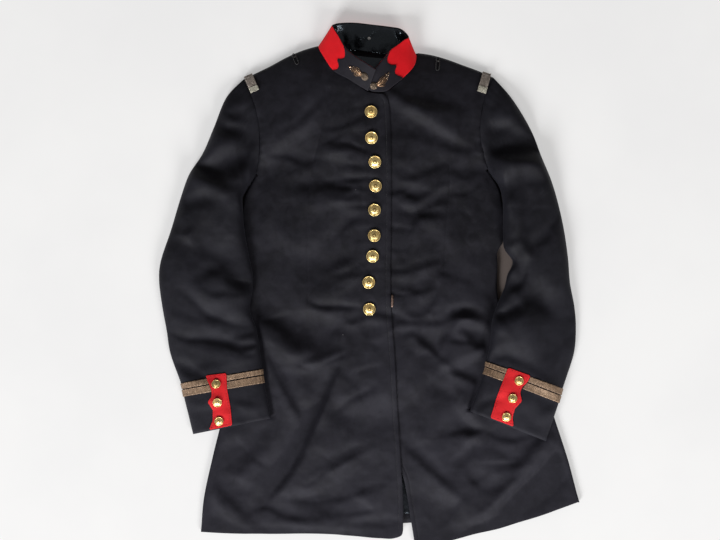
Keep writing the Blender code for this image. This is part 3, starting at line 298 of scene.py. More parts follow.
# Collar ring from the right front end, round the back of the neck, to the left front end
COLLAR = Table(
    "bottom_x bottom_y top_x top_y top_z",
    """
     -0.8   325  12.1 358.4 64.5
    -17.8 335.3  -4.4 369.7 63.5
    -34.2 346.2 -21.3 381.1 59.5
    -58.5 361.2 -39.4 398.2   52
    -73.5 383.5   -50 418.3   42
    -84.5   407 -60.3 437.3   31
    -74.4   413 -58.7 442.1   25
    -53.9 406.5 -46.9   446   20
    -28.2 401.4   -23   447   17
     -0.7 397.9     6   444   16
     33.5 394.5  36.8   440   17
     60.9   396  55.5 435.1   21
     78.5   394  67.3 420.2   30
     80.4 383.3  60.2   414   35
     74.8 367.5  48.2 403.6 40.5
     57.7 348.5  35.3 392.8   47
       41   334  24.3 378.2 51.5
       28   325  14.5   367 53.5
        8 324.6     5 360.5 54.5
       -4 330.5  -6.5   361 53.5
    """,
)
LAST_STATION = len(COLLAR.top_x) - 1.0
COLLAR_SEAT = 1.6  # its middle stands this far over the cloth it is sewn to
ON_RIGHT_TO, ON_LEFT_FROM, SEAT_BLEND = 4.6, 11.2, 1.2  # stations sewn to each front, and the blend between
LINING_SPAN = (8 / 3, 47 / 3)  # stations between which the collar's inside shows

TAB_GAP = 0.45
BAND_HEIGHT = 42.0
BADGE_BALL = 6.0
# Badges on the collar: distance back from its front edge, height on the band, and turn in degrees
BADGES = {"right": (13.5, 20.0, 0.0), "left": (13.8, 10.7, 17.0)}

STRAPS = {"right": [(-192.9, 328.9), (-204.6, 356.0)], "left": [(191.9, 327.2), (201.6, 359.6)]}
STRAP_WIDTH = 14.0
STRAP_ARCH = 1.5
STRAP_FOLD = 9.0  # length of the strap's folded lower end
LOOPS = {"right": [(-127.5, 393.0), (-121.7, 377.5)], "left": [(118.9, 386.5), (117.4, 367.5)]}
LOOP_WIDTH = 5.5
HOOK = {"x": 39.7, "y": -28.7, "length": 19.0, "width": 3.2, "thick": 1.4}
STUD_STATION, STUD_UP, STUD_DIAMETER = 8.95, 0.52, 6.0


# ---------------------------------------------------------------- shapes in plan and height


def smooth(xs, ys, x):
    """A smooth curve through the points (xs, ys), read at x and level beyond its ends."""
    xs, ys = np.asarray(xs, float), np.asarray(ys, float)
    steps = np.diff(xs)
    slopes = np.diff(ys) / steps
    inner = (slopes[:-1] * steps[1:] + slopes[1:] * steps[:-1]) / (steps[:-1] + steps[1:])
    tangents = np.concatenate([slopes[:1], inner, slopes[-1:]])
    x = np.clip(x, xs[0], xs[-1])
    k = np.clip(np.searchsorted(xs, x, side="right") - 1, 0, len(steps) - 1)
    t = (x - xs[k]) / steps[k]
    start = (1 + 2 * t) * (1 - t) ** 2 * ys[k] + t * (1 - t) ** 2 * steps[k] * tangents[k]
    return start + t * t * (3 - 2 * t) * ys[k + 1] + t * t * (t - 1) * steps[k] * tangents[k + 1]


def ease(t):
    """0 below 0 and 1 above 1, with a soft start and end."""
    t = np.clip(t, 0.0, 1.0)
    return t * t * (3 - 2 * t)


def bell(value, width, middle=0.0):
    """1 at the middle and close to 0 two widths away from it."""
    return np.exp(-(((value - middle) / width) ** 2))


def path(points, step):
    """The smooth curve through the points, with a point about every step."""
    points = np.array(points, float)
    along = np.concatenate([[0.0], np.cumsum(np.hypot(*np.diff(points, axis=0).T))])
    at = np.linspace(0.0, along[-1], max(2, round(along[-1] / step) + 1))
    return np.stack([smooth(along, points[:, 0], at), smooth(along, points[:, 1], at)], axis=1)


def divided(outline, step):
    """A closed outline with straight sides, with a point about every step."""
    points = []
    for start, end in zip(np.array(outline, float), np.roll(outline, -1, axis=0)):
        count = max(1, round(np.hypot(*(end - start)) / step))
        points += [start + (end - start) * k / count for k in range(count)]
    return np.array(points)


def inside(outline, x, y):
    """Whether the points lie inside a closed outline."""
    hit = np.zeros(x.shape, bool)
    for (x1, y1), (x2, y2) in zip(outline, np.roll(outline, -1, axis=0)):
        if y1 != y2:
            crossing = x1 + (y - y1) * (x2 - x1) / (y2 - y1)
            hit ^= ((y1 > y) != (y2 > y)) & (x < crossing)
    return hit


def leftward(line):
    """Unit vectors to the left of a plan line, one at each of its points."""
    ahead = np.gradient(line, axis=0)
    ahead /= np.maximum(np.linalg.norm(ahead, axis=1), 1e-9)[:, None]
    return np.stack([-ahead[:, 1], ahead[:, 0]], 1)


def offset_line(line, distance):
    """A plan line moved to its left."""
    return line + leftward(line) * distance


def line_distance(line, x, y):
    """Distance of plan points from a finely divided plan line."""
    tree = KDTree(len(line))
    for k, (px, py) in enumerate(line):
        tree.insert((px, py, 0.0), k)
    tree.balance()
    found = [tree.find((px, py, 0.0))[2] for px, py in zip(np.ravel(x), np.ravel(y))]
    return np.array(found).reshape(np.shape(x))


def kept_inside(outline, points, step, least):
    """The points that lie inside an outline, divided by a step, and at least a distance from it."""
    points = points[inside(outline, points[:, 0], points[:, 1])]
    return points[line_distance(divided(outline, step), points[:, 0], points[:, 1]) >= least]


def noise_at(x, y, seed, wide, high=None):
    """Smooth noise at plan points, by the width and height of its swells."""
    high = high or wide
    values = [noise.noise((px / wide, py / high, seed)) for px, py in zip(np.ravel(x), np.ravel(y))]
    return np.array(values).reshape(np.shape(x))


def pressed(x, y, folds):
    """Height that the folds add at a plan point."""
    total = np.zeros(np.broadcast(x, y).shape)
    for x1, y1, x2, y2, height, width in folds.rows:
        length = math.hypot(x2 - x1, y2 - y1)
        ux, uy = (x2 - x1) / length, (y2 - y1) / length
        along = ((x - x1) * ux + (y - y1) * uy) / length
        off = ((x - x1) * uy - (y - y1) * ux) / width
        total = total + height * np.exp(-(off**2) - 1.2 * (2 * along - 1) ** 4)
    return total


def side_at(x, y):
    """Plan distance of the side fold from the centre line, on the side of x."""
    return np.where(x < 0, smooth(BODY.y, BODY.right, y), smooth(BODY.y, BODY.left, y))


def roll_at(y):
    """Radius of the side fold."""
    return smooth(BODY.y, BODY.edge, y) / 2


def top_reach(x, y):
    """Plan distance at which the top turns into the side fold."""
    return side_at(x, y) - roll_at(y) * (1 - math.sin(ROLL_START))


def below_shoulder(x, y):
    """Distance of a plan point down the plan from the shoulder line."""
    return smooth(SHOULDER.x, SHOULDER.y, x) - y


def body_smooth(x, y):
    """Height of the body's outer face without its folds."""
    edge = roll_at(y) * (1 + math.cos(ROLL_START))
    share = np.clip(np.abs(x) / top_reach(x, y), 0.0, 1.0)
    chest = edge + (smooth(BODY.y, BODY.crown, y) - edge) * (1 - share**2) ** CROWN_POWER
    down = np.clip(below_shoulder(x, y) * SHOULDER_SLANT, 0.0, None)
    roll = SHOULDER_ROLL * np.sqrt(1 - (1 - np.clip(down / SHOULDER_ROLL, 0.0, 1.0)) ** 2)
    rise = 1 - (1 - np.clip(down / SHOULDER_FALL, 0.0, 1.0)) ** 2
    shoulder = SHOULDER_SEAM + roll + (chest - SHOULDER_SEAM - SHOULDER_ROLL) * rise
    return np.where(y > SHOULDER.y[0] - SHOULDER_FALL, shoulder, chest)


def body_top(x, y):
    """Height of the left front's outer face, and of the right front's away from the overlap."""
    return body_smooth(x, y) + pressed(x, y, FOLDS) * ease(below_shoulder(x, y) / SHOULDER_CALM)


def right_top(x, y):
    """Height of the right front's outer face: it rises where the left front lies under it."""
    return body_top(x, y) + OVERLAP_RISE * ease((x - OVERLAP_START) / OVERLAP_BLEND)


def sleeve_lift(x, y):
    """Height of the surface that a sleeve lies on: the table, or the body and its skirt."""
    beside = np.clip(np.abs(x) - side_at(x, y) - LIFT_SHOULDER, 0.0, None)
    down = 1 - ease(beside / LIFT_REACH)
    return (body_top(x, y) + LIFT_CLEAR) * down * (1 - ease((y - LIFT_FULL_Y) / (LIFT_NONE_Y - LIFT_FULL_Y)))


def armhole(side, share):
    """Plan points of an armhole seam, from the armpit (0) to the shoulder point (1)."""
    pit, point, bow = (np.array(ARMHOLES[side][key]) for key in ("pit", "point", "bow"))
    share = np.asarray(share, float)[:, None]
    return pit + (point - pit) * share + bow * 4 * share * (1 - share)


def sleeve_read(side, name, row):
    """A column of a sleeve's table, read smoothly at rows."""
    column = getattr(SLEEVES[side], name)
    return smooth(np.arange(len(column)), column, row)


def sleeve_edges(side, row):
    """Plan points of a sleeve's inner and outer edges at rows of its table."""
    edges = ("inner_x", "inner_y"), ("outer_x", "outer_y")
    return [np.stack([sleeve_read(side, name, row) for name in names], -1) for names in edges]


def sleeve_surface(side, share, row, crown, fold, rise, sink):
    """The point at a share of the sleeve's width, with its height over what the sleeve lies on."""
    inner, outer = sleeve_edges(side, row)
    share = np.clip(share, 0.0, 1.0)
    bow = sleeve_read(side, "bow", row) * 4 * share * (1 - share)
    x = inner[..., 0] + (outer - inner)[..., 0] * share - SIGN[side] * bow
    y = inner[..., 1] + (outer - inner)[..., 1] * share
    match = 1 - ease(row / BODY_MATCH_ROWS)
    top = crown * (1 - match) + body_top(x, y) * match
    folded_up = pressed(x, y, SLEEVE_FOLDS) * ease(rise * 1.6) * (1 - match)
    power = TOP_SHAPE * (1 - match) + HEAD_SHAPE * match
    up = fold + (top - fold) * np.abs(rise) ** power + folded_up
    height = np.where(rise > 1e-6, up, fold * (1 - sink))
    return np.stack([x, y, height + sleeve_lift(x, y)], -1)


def sleeve_point(side, across, row):
    """A point on the sleeve's outer face. Across runs from the inner edge (0) over the top to the outer edge
    (1), and on under each edge to the seam at -1 or 2. Row counts the rows of the sleeve's table."""
    across, row = np.broadcast_arrays(np.asarray(across, float), np.asarray(row, float))
    inner, outer = sleeve_edges(side, row)
    width = np.linalg.norm(outer - inner, axis=-1)
    crown, fold = sleeve_read(side, "crown", row), sleeve_read(side, "fold", row)
    turn = np.clip(across, 0.0, 1.0) * math.pi
    half = np.cos(turn)
    over = width * (1 - np.sign(half) * np.abs(half) ** (1 / EDGE_SHAPE)) / 2
    under = np.clip(np.where(across < 0, -across, across - 1), 0.0, 1.0)
    quarter = np.clip(under * 2, 0.0, 1.0) * math.pi / 2
    inset = fold * (1 - np.cos(quarter)) + (SLEEVE_SEAM_INSET - fold) * np.clip(2 * under - 1, 0.0, 1.0)
    place = np.where(across < 0, inset, np.where(across > 1, width - inset, over))
    return sleeve_surface(side, place / width, row, crown, fold, np.sin(turn), np.sin(quarter))


def sleeve_under_point(side, share, row):
    """A point on the underside of the under sleeve, from its inner seam (0) to its outer seam (1)."""
    share, row = np.broadcast_arrays(np.asarray(share, float), np.asarray(row, float))
    inner, outer = sleeve_edges(side, row)
    width = np.linalg.norm(outer - inner, axis=-1)
    start = SLEEVE_SEAM_INSET + SLEEVE_SEAM_GAP * (1 + 2.0 * np.clip(1 - row / 1.8, 0.0, 1.0))
    place = start + (width - 2 * start) * share
    flat = np.zeros(place.shape)
    return sleeve_surface(side, place / width, row, flat, flat, flat, flat + 1)


def across_of(share):
    """The across value over the top at a share of the sleeve's width."""
    half = 1 - 2 * share
    return math.acos(math.copysign(abs(half) ** EDGE_SHAPE, half)) / math.pi


def sleeve_place(side, x, y):
    """Across and row of the sleeve's top at a plan point of its lower, unbowed part."""
    low, high = UNBOWED_ROW, len(SLEEVES[side].crown) - 1.0
    for _ in range(40):
        row = (low + high) / 2
        (ax, ay), (bx, by) = sleeve_edges(side, row)
        turned_by = (bx - ax) * (y - ay) - (by - ay) * (x - ax)
        low, high = (row, high) if turned_by * SIGN[side] < 0 else (low, row)
    share = ((x - ax) * (bx - ax) + (y - ay) * (by - ay)) / ((bx - ax) ** 2 + (by - ay) ** 2)
    return across_of(share), row


def collar_point(station, up):
    """A point on the middle of the collar's wall, by row of its table and share of its height."""
    columns = (COLLAR.bottom_x, COLLAR.bottom_y, COLLAR.top_x, COLLAR.top_y, COLLAR.top_z)
    bx, by, tx, ty, tz = (smooth(np.arange(len(column)), column, station) for column in columns)
    at_front = 1 - ease((station - ON_RIGHT_TO) / SEAT_BLEND)
    at_left = ease((station - ON_LEFT_FROM) / SEAT_BLEND)
    seat = right_top(bx, by) * at_front + body_top(bx, by) * at_left + WALL * (1 - at_front - at_left)
    bz = seat + COLLAR_SEAT
    return np.stack([bx + (tx - bx) * up, by + (ty - by) * up, bz + (tz - bz) * up], -1)


# ---------------------------------------------------------------- meshes


def new_object(name, points, faces, material):
    """A smooth mesh object from points in millimetres of the tunic's plan and triangles."""
    shifted = (np.asarray(points, float) - (CENTRE_X, CENTRE_Y, 0.0)) * MM
    corners = np.asarray(faces).reshape(-1)
    mesh = bpy.data.meshes.new(name)
    mesh.vertices.add(len(shifted))
    mesh.vertices.foreach_set("co", shifted.reshape(-1))
    mesh.loops.add(len(corners))
    mesh.loops.foreach_set("vertex_index", corners)
    mesh.polygons.add(len(faces))
    mesh.polygons.foreach_set("loop_start", np.arange(0, len(corners), 3))
    mesh.polygons.foreach_set("loop_total", np.full(len(faces), 3))
    mesh.update(calc_edges=True)
    mesh.validate()
    mesh.shade_smooth()
    mesh.materials.append(material)
    obj = bpy.data.objects.new(name, mesh)
    bpy.context.scene.collection.objects.link(obj)
    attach(obj, "root")
    return obj


def grid(rows, columns, flip=False):
    """Triangles for each cell of a grid of points."""
    a = (np.arange(rows - 1)[:, None] * columns + np.arange(columns - 1)[None, :]).reshape(-1)
    b, d, e = a + 1, a + columns, a + columns + 1
    first, second = ((a, d, b), (b, d, e)) if flip else ((a, b, d), (b, e, d))
    return np.concatenate([np.stack(first, 1), np.stack(second, 1)])


def merged(points, faces):
    """Points with doubles joined, and the faces that stay whole."""
    points, faces = np.asarray(points, float).reshape(-1, 3), np.asarray(faces, int)
    _, first, index = np.unique(np.round(points, 4), axis=0, return_index=True, return_inverse=True)
    faces = index.reshape(-1)[faces]
    whole = (faces[:, 0] != faces[:, 1]) & (faces[:, 1] != faces[:, 2]) & (faces[:, 2] != faces[:, 0])
    return points[first], faces[whole]


def point_normals(points, faces):
    """Unit normals, averaged from the faces round each point."""
    corners = points[faces]
    across = np.cross(corners[:, 1] - corners[:, 0], corners[:, 2] - corners[:, 0])
    normals = np.zeros(points.shape)
    for k in range(3):
        np.add.at(normals, faces[:, k], across)
    return normals / np.maximum(np.linalg.norm(normals, axis=1), 1e-12)[:, None]


def raised(points, faces, lift):
    """A grid of points moved along their normals."""
    normals = point_normals(points.reshape(-1, 3), faces).reshape(points.shape)
    return points + normals * np.asarray(lift)[..., None]


def boundary(faces):
    """Directed edges of the faces that have no partner."""
    a = faces.reshape(-1)
    b = np.roll(faces, -1, axis=1).reshape(-1)
    size = int(faces.max()) + 1
    alone = ~np.isin(a * size + b, b * size + a)
    return a[alone], b[alone]


def shell(points, faces, outer=0.0, inner=-WALL, bulge=0.4, rings=3):
    """A closed cloth wall along a surface, with its rims rounded outward by the bulge."""
    points, faces = merged(points, faces)
    normals = point_normals(points, faces)
    a, b = boundary(faces)
    out = np.zeros(points.shape)
    side = np.cross(points[b] - points[a], normals[a] + normals[b])
    side /= np.maximum(np.linalg.norm(side, axis=1), 1e-12)[:, None]
    np.add.at(out, a, side)
    np.add.at(out, b, side)
    rim = np.unique(np.concatenate([a, b]))
    place = np.full(len(points), -1)
    place[rim] = np.arange(len(rim))
    out = out[rim] / np.maximum(np.linalg.norm(out[rim], axis=1), 1e-12)[:, None]
    middle, half = (outer + inner) / 2, (outer - inner) / 2
    layers = [points + normals * outer, points + normals * inner]
    count = len(points)
    solid = [faces, faces[:, ::-1] + count]
    start = 2 * count
    previous = rim
    for k in range(1, rings + 1):
        angle = math.pi / 2 - math.pi * k / (rings + 1)
        rise = normals[rim] * (middle + half * math.sin(angle))
        layers.append(points[rim] + rise + out * bulge * math.cos(angle))
        ring = np.arange(start, start + len(rim))
        start += len(rim)
        solid += band(a, b, place, previous, ring)
        previous = ring
    solid += band(a, b, place, previous, rim + count)
    return np.concatenate(layers), np.concatenate(solid)


def band(a, b, place, above, below):
    """Triangles between two rings of rim points."""
    a, b = place[a], place[b]
    return [np.stack([above[b], above[a], below[a]], 1), np.stack([above[b], below[a], below[b]], 1)]


def net(outline, step, least=0.6):
    """Plan points of a hexagonal net inside an outline."""
    (x1, y1), (x2, y2) = outline.min(axis=0), outline.max(axis=0)
    rows = []
    for k, y in enumerate(np.arange(y1, y2, step * 0.866)):
        x = np.arange(x1 + step * 0.5 * (k % 2), x2, step)
        rows.append(np.stack([x, np.full(len(x), y)], 1))
    return kept_inside(outline, np.concatenate(rows), step / 2, least * step)


def filled(outline, groups):
    """Points and triangles, seen from above, that fill an outline with groups of plan points inside it."""
    outline = np.array(outline, float)
    points = np.concatenate([outline] + [np.asarray(g, float).reshape(-1, 2) for g in groups])
    made = delaunay_2d_cdt([Vector(p) for p in points], [], [list(range(len(outline)))], 1, 1e-5)
    flat = np.array([points[sources[0]] if sources else tuple(p) for p, sources in zip(made[0], made[3])])
    faces = np.array([tuple(face) for face in made[2]], int)
    a, b, c = flat[faces[:, 0]], flat[faces[:, 1]], flat[faces[:, 2]]
    turned = (b - a)[:, 0] * (c - a)[:, 1] - (b - a)[:, 1] * (c - a)[:, 0] < 0
    faces[turned] = faces[turned][:, ::-1]
    return flat, faces


def sparse(points, step, near=None, least=0.6):
    """The points of a list that keep a distance from the ones kept before them."""
    cells, kept = {}, []
    size = step * least

    def clear(p):
        i, j = int(p[0] // size), int(p[1] // size)
        for u in (i - 1, i, i + 1):
            for v in (j - 1, j, j + 1):
                for q in cells.get((u, v), ()):
                    if (q[0] - p[0]) ** 2 + (q[1] - p[1]) ** 2 < size * size:
                        return False
        return True

    def put(p):
        cells.setdefault((int(p[0] // size), int(p[1] // size)), []).append(p)

    for p in near if near is not None else ():
        put(p)
    for p in points:
        if clear(p):
            put(p)
            kept.append(p)
    return np.array(kept).reshape(-1, 2)


def tube(path_points, radius, sides=6, caps=True, taper=1.0):
    """Points and faces of a round cord along a path of 3-D points."""
    path_points = np.asarray(path_points, float)
    ahead = np.gradient(path_points, axis=0)
    ahead /= np.maximum(np.linalg.norm(ahead, axis=1), 1e-9)[:, None]
    side = np.cross(ahead, (0.0, 0.0, 1.0))
    weak = np.linalg.norm(side, axis=1) < 0.05
    side[weak] = np.cross(ahead[weak], (1.0, 0.0, 0.0))
    side /= np.linalg.norm(side, axis=1)[:, None]
    up = np.cross(side, ahead)
    radii = radius * taper * np.ones(len(path_points))
    angles = 2 * math.pi * np.arange(sides) / sides
    ring = side[:, None] * np.cos(angles)[None, :, None] + up[:, None] * np.sin(angles)[None, :, None]
    points = (path_points[:, None] + ring * radii[:, None, None]).reshape(-1, 3)
    faces = []
    for k in range(len(path_points) - 1):
        for s in range(sides):
            a, b = k * sides + s, k * sides + (s + 1) % sides
            faces += [(a, b, b + sides), (a, b + sides, a + sides)]
    if caps:
        last = (len(path_points) - 1) * sides
        faces += [(0, k + 1, k) for k in range(1, sides - 1)]
        faces += [(last, last + k, last + k + 1) for k in range(1, sides - 1)]
    return points, np.array(faces)


def joined(parts):
    """Several (points, faces) pairs as one."""
    points, faces, start = [], [], 0
    for p, f in parts:
        points.append(p)
        faces.append(np.asarray(f) + start)
        start += len(p)
    return np.concatenate(points), np.concatenate(faces)


def turned(profile, scale, sides):
    """Points and faces of a turned form, by rows of radius and height from its foot's middle to its top's."""
    points, faces, rings = [], [], []
    for radius, height in profile:
        if radius == 0.0:
            rings.append([len(points)])
            points.append((0.0, 0.0, height * scale))
            continue
        rings.append(list(range(len(points), len(points) + sides)))
        for k in range(sides):
            angle = 2 * math.pi * k / sides
            out = radius * scale
            points.append((out * math.cos(angle), out * math.sin(angle), height * scale))
    for low, high in zip(rings, rings[1:]):
        for k in range(sides):
            a, b = low[k % len(low)], low[(k + 1) % len(low)]
            c, d = high[k % len(high)], high[(k + 1) % len(high)]
            if a != b:
                faces.append((a, b, d))
            if c != d:
                faces.append((a, d, c))
    return np.array(points), np.array(faces)


def stood(points, foot, axis):
    """Points of an upright form, turned to an axis and put on its foot."""
    turn = Vector((0, 0, 1)).rotation_difference(Vector(axis)).to_matrix()
    return points @ np.array(turn).T + np.asarray(foot)


def stadium(start, end, radius, step):
    """A plan outline with half rounds about both ends, by an angle step in degrees."""
    start, end = np.array(start), np.array(end)
    along = (end - start) / np.linalg.norm(end - start)
    beside = np.array([-along[1], along[0]])
    ring = []
    for centre, first in ((end, -90), (start, 90)):
        for angle in np.radians(np.arange(first, first + 181, step)):
            ring.append(centre + (along * math.cos(angle) + beside * math.sin(angle)) * radius)
    return np.array(ring)


# ---------------------------------------------------------------- materials


class Finish:
    """One material, built node by node round its shader."""

    def __init__(self, name, **sockets):
        self.material = bpy.data.materials.new(name)
        self.material.use_nodes = True
        self.tree = self.material.node_tree
        self.shader = self.tree.nodes["Principled BSDF"]
        for socket, value in sockets.items():
            self.shader.inputs[socket.replace("_", " ")].default_value = value
        self.place = self.add("ShaderNodeTexCoord").outputs["Object"]

    def add(self, kind, settings=None, **inputs):
        """A node with its settings. Its inputs, by name or as i0, i1, are numbers or sockets to link."""
        node = self.tree.nodes.new(kind)
        for key, value in (settings or {}).items():
            setattr(node, key, value)
        for key, value in inputs.items():
            numbered = key[0] == "i" and key[1:].isdigit()
            self.put(node.inputs[int(key[1:]) if numbered else key.replace("_", " ")], value)
        return node

    def put(self, socket, value):
        if isinstance(value, bpy.types.NodeSocket):
            self.tree.links.new(value, socket)
        else:
            socket.default_value = value

    def turned(self, degrees=(0.0, 0.0, 0.0), scale=(1.0, 1.0, 1.0), shift=(0.0, 0.0, 0.0)):
        """The object's own coordinates, turned, scaled and shifted."""
        radians = [math.radians(d) for d in degrees]
        node = self.add("ShaderNodeMapping", Vector=self.place, Rotation=radians, Scale=scale, Location=shift)
        return node.outputs["Vector"]

    def noise(self, scale, detail=3.0, roughness=0.55, where=None, distortion=0.0):
        inputs = {"Scale": scale, "Detail": detail, "Roughness": roughness, "Distortion": distortion}
        return self.add("ShaderNodeTexNoise", Vector=where or self.place, **inputs).outputs["Fac"]

    def wave(self, pitch, slope, distortion=0.0):
        """Ridges with a pitch in metres, across a slope in degrees."""
        inputs = {"Scale": math.pi / (10 * pitch), "Distortion": distortion}
        return self.add("ShaderNodeTexWave", Vector=self.turned(slope), **inputs).outputs["Fac"]

    def maths(self, operation, first, second=0.0, third=None, clamp=False):
        node = self.add("ShaderNodeMath", {"operation": operation, "use_clamp": clamp}, i0=first, i1=second)
        if third is not None:
            self.put(node.inputs[2], third)
        return node.outputs[0]

    def stretch(self, value, low, high, out_low=0.0, out_high=1.0):
        """A value mapped from one range to another and kept within it."""
        inputs = {"From Min": low, "From Max": high, "To Min": out_low, "To Max": out_high}
        settings = {"interpolation_type": "SMOOTHSTEP"}
        return self.add("ShaderNodeMapRange", settings, Value=value, **inputs).outputs["Result"]

    def blend(self, share, first, second):
        """A mix of two colours by a share."""
        node = self.add("ShaderNodeMix", {"data_type": "RGBA"})
        for key, value in (("Factor_Float", share), ("A_Color", first), ("B_Color", second)):
            self.put(next(s for s in node.inputs if s.identifier == key), value)
        return next(s for s in node.outputs if s.identifier == "Result_Color")

    def colour(self, socket):
        self.put(self.shader.inputs["Base Color"], socket)

    def rough(self, socket):
        self.put(self.shader.inputs["Roughness"], socket)

    def bump(self, height, strength, distance, below=None):
        """A bump on the shader's normal, over another one where below is given."""
        node = self.add("ShaderNodeBump", Height=height, Strength=strength, Distance=distance)
        if below is not None:
            self.put(node.inputs["Normal"], below)
        self.put(self.shader.inputs["Normal"], node.outputs["Normal"])
        return node.outputs["Normal"]


def rgb(*values):
    return (*values, 1.0)


def broadcloth(name, dark, light, sheen, sheen_tint, slope, lint=0.0):
    """Milled wool: a fine twill under a short nap, broad uneven tone, painted light that lightens it towards
    the hem, and a few specks of lint.
    """
    f = Finish(name, Sheen_Weight=sheen, Sheen_Roughness=0.45, Sheen_Tint=sheen_tint, Specular_IOR_Level=0.18)
    broad = f.noise(9.0, 4.0, 0.6)
    patch = f.noise(55.0, 5.0, 0.6, distortion=0.6)
    nap = f.noise(900.0, 4.0, 0.7)
    twill = f.wave(0.0009, (0, 0, slope), 1.2)
    tone = f.maths("MULTIPLY_ADD", broad, 0.55, f.maths("MULTIPLY", patch, 0.45))
    tone = f.stretch(tone, 0.33, 0.67)
    # Painted light: the cloth is lighter towards the hem and darker towards the shoulders
    down = f.add("ShaderNodeSeparateXYZ", Vector=f.place).outputs["Y"]
    tone = f.maths("ADD", tone, f.stretch(down, -0.30, 0.12, 0.42, -0.42))
    grain = f.maths("MULTIPLY_ADD", nap, 0.5, f.maths("MULTIPLY", twill, 0.18))
    tone = f.maths("ADD", f.maths("MULTIPLY", tone, 0.6), f.maths("MULTIPLY", grain, 0.6), clamp=True)
    colour = f.blend(tone, dark, light)
    if lint:
        cells = f.add("ShaderNodeTexVoronoi", {"feature": "F1"}, Vector=f.place, Scale=48.0)
        chosen = f.add("ShaderNodeSeparateColor", Color=cells.outputs["Color"]).outputs["Red"]
        size = f.stretch(f.noise(700.0, 1.0), 0.3, 0.7, 0.012, 0.036)
        speck = f.maths("LESS_THAN", cells.outputs["Distance"], size)
        speck = f.maths("MULTIPLY", speck, f.maths("GREATER_THAN", chosen, 1.0 - lint))
        colour = f.blend(speck, colour, rgb(0.35, 0.35, 0.36))
    f.colour(colour)
    f.rough(f.stretch(nap, 0.3, 0.7, 0.58, 0.74))
    low = f.bump(f.noise(260.0, 4.0, 0.6), 0.25, 0.0006)
    f.bump(f.maths("ADD", f.maths("MULTIPLY", twill, 0.35), nap), 0.35, 0.00025, low)
    return f.material


def satin(name, dark, light, slope, crumple):
    """A glossy lining of fine threads, crumpled all over."""
    f = Finish(name, Specular_IOR_Level=0.6 + crumple / 2, Specular_Tint=rgb(0.72, 0.86, 1.0))
    f.shader.inputs["Sheen Weight"].default_value = 0.04
    f.shader.inputs["Sheen Roughness"].default_value = 0.3
    thread = f.wave(0.00045, (0, 0, slope), 0.8)
    tone = f.stretch(f.noise(30.0, 4.0, 0.6), 0.35, 0.68)
    f.colour(f.blend(tone, dark, light))
    f.rough(f.stretch(f.noise(120.0, 3.0), 0.3, 0.7, 0.24 - 0.1 * crumple, 0.42 - 0.12 * crumple))
    low = f.bump(f.noise(95.0, 3.0, 0.5), 0.35, 0.0012)
    ridged = {"noise_type": "RIDGED_MULTIFRACTAL"}
    creases = f.add("ShaderNodeTexNoise", ridged, Vector=f.place, Scale=34.0, Detail=3.0)
    low = f.bump(creases.outputs["Fac"], crumple, 0.006, low)
    f.bump(thread, 0.18, 0.00015, low)
    return f.material


def lace(name, bright, dull, stain, metallic, roughness, slope, pitch=0.0011):
    """Metal lace: close ribs of wrapped thread, tarnished in patches."""
    f = Finish(name, Metallic=metallic, Specular_IOR_Level=0.6)
    across = f.wave(pitch, (0, 0, slope), 0.5)
    along = f.wave(pitch * 1.9, (0, 0, slope + 90.0), 0.9)
    weave = f.maths("MULTIPLY", across, f.stretch(along, 0.0, 1.0, 0.55, 1.0))
    tarnish = f.stretch(f.noise(130.0, 5.0, 0.65, distortion=0.8), 0.36, 0.66)
    colour = f.blend(tarnish, bright, dull)
    colour = f.blend(f.stretch(f.noise(420.0, 4.0, 0.7), 0.5, 0.72, 0.0, 0.8), colour, stain)
    f.colour(f.blend(f.stretch(weave, 0.0, 0.55, 0.55, 0.0), colour, stain))
    f.rough(f.stretch(tarnish, 0.0, 1.0, roughness, roughness + 0.2))
    f.bump(weave, 0.6, 0.0003)
    return f.material


def metal(name, bright, dull, roughness, wear=80.0, metallic=1.0):
    """Gilt or plain metal, duller in patches, with fine scratches."""
    f = Finish(name, Metallic=metallic)
    stain = f.stretch(f.noise(wear, 5.0, 0.6, distortion=0.4), 0.38, 0.7)
    f.colour(f.blend(stain, bright, dull))
    scratch = f.noise(1400.0, 2.0, 0.6, f.turned((0, 0, 24), (1.0, 0.12, 1.0)))
    worn = f.stretch(stain, 0.0, 1.0, roughness, roughness + 0.16)
    f.rough(f.maths("ADD", worn, f.stretch(scratch, 0.4, 0.7, 0.0, 0.06)))
    f.bump(f.maths("ADD", scratch, f.noise(500.0, 3.0)), 0.12, 0.0001)
    return f.material


def thread(name, light, dark, pitch, metallic=0.0, roughness=0.7):
    """Twisted thread or cord."""
    f = Finish(name, Metallic=metallic, Sheen_Weight=0.2 if metallic == 0.0 else 0.0)
    twist = f.wave(pitch, (35, 20, 41), 1.5)
    tone = f.maths("MULTIPLY", twist, f.stretch(f.noise(600.0, 3.0), 0.25, 0.75, 0.5, 1.0))
    f.colour(f.blend(tone, dark, light))
    f.rough(f.stretch(twist, 0.0, 1.0, roughness + 0.1, roughness - 0.1))
    f.bump(twist, 0.5, 0.0002)
    return f.material


def enamel(name, colour, dull, roughness):
    """Smooth white horn or enamel, a little soiled."""
    f = Finish(name, Coat_Weight=0.3, Coat_Roughness=0.2)
    soil = f.stretch(f.noise(400.0, 4.0, 0.6), 0.45, 0.75)
    f.colour(f.blend(soil, colour, dull))
    f.rough(f.stretch(soil, 0.0, 1.0, roughness, roughness + 0.2))
    f.bump(f.noise(900.0, 2.0), 0.08, 0.0001)
    return f.material


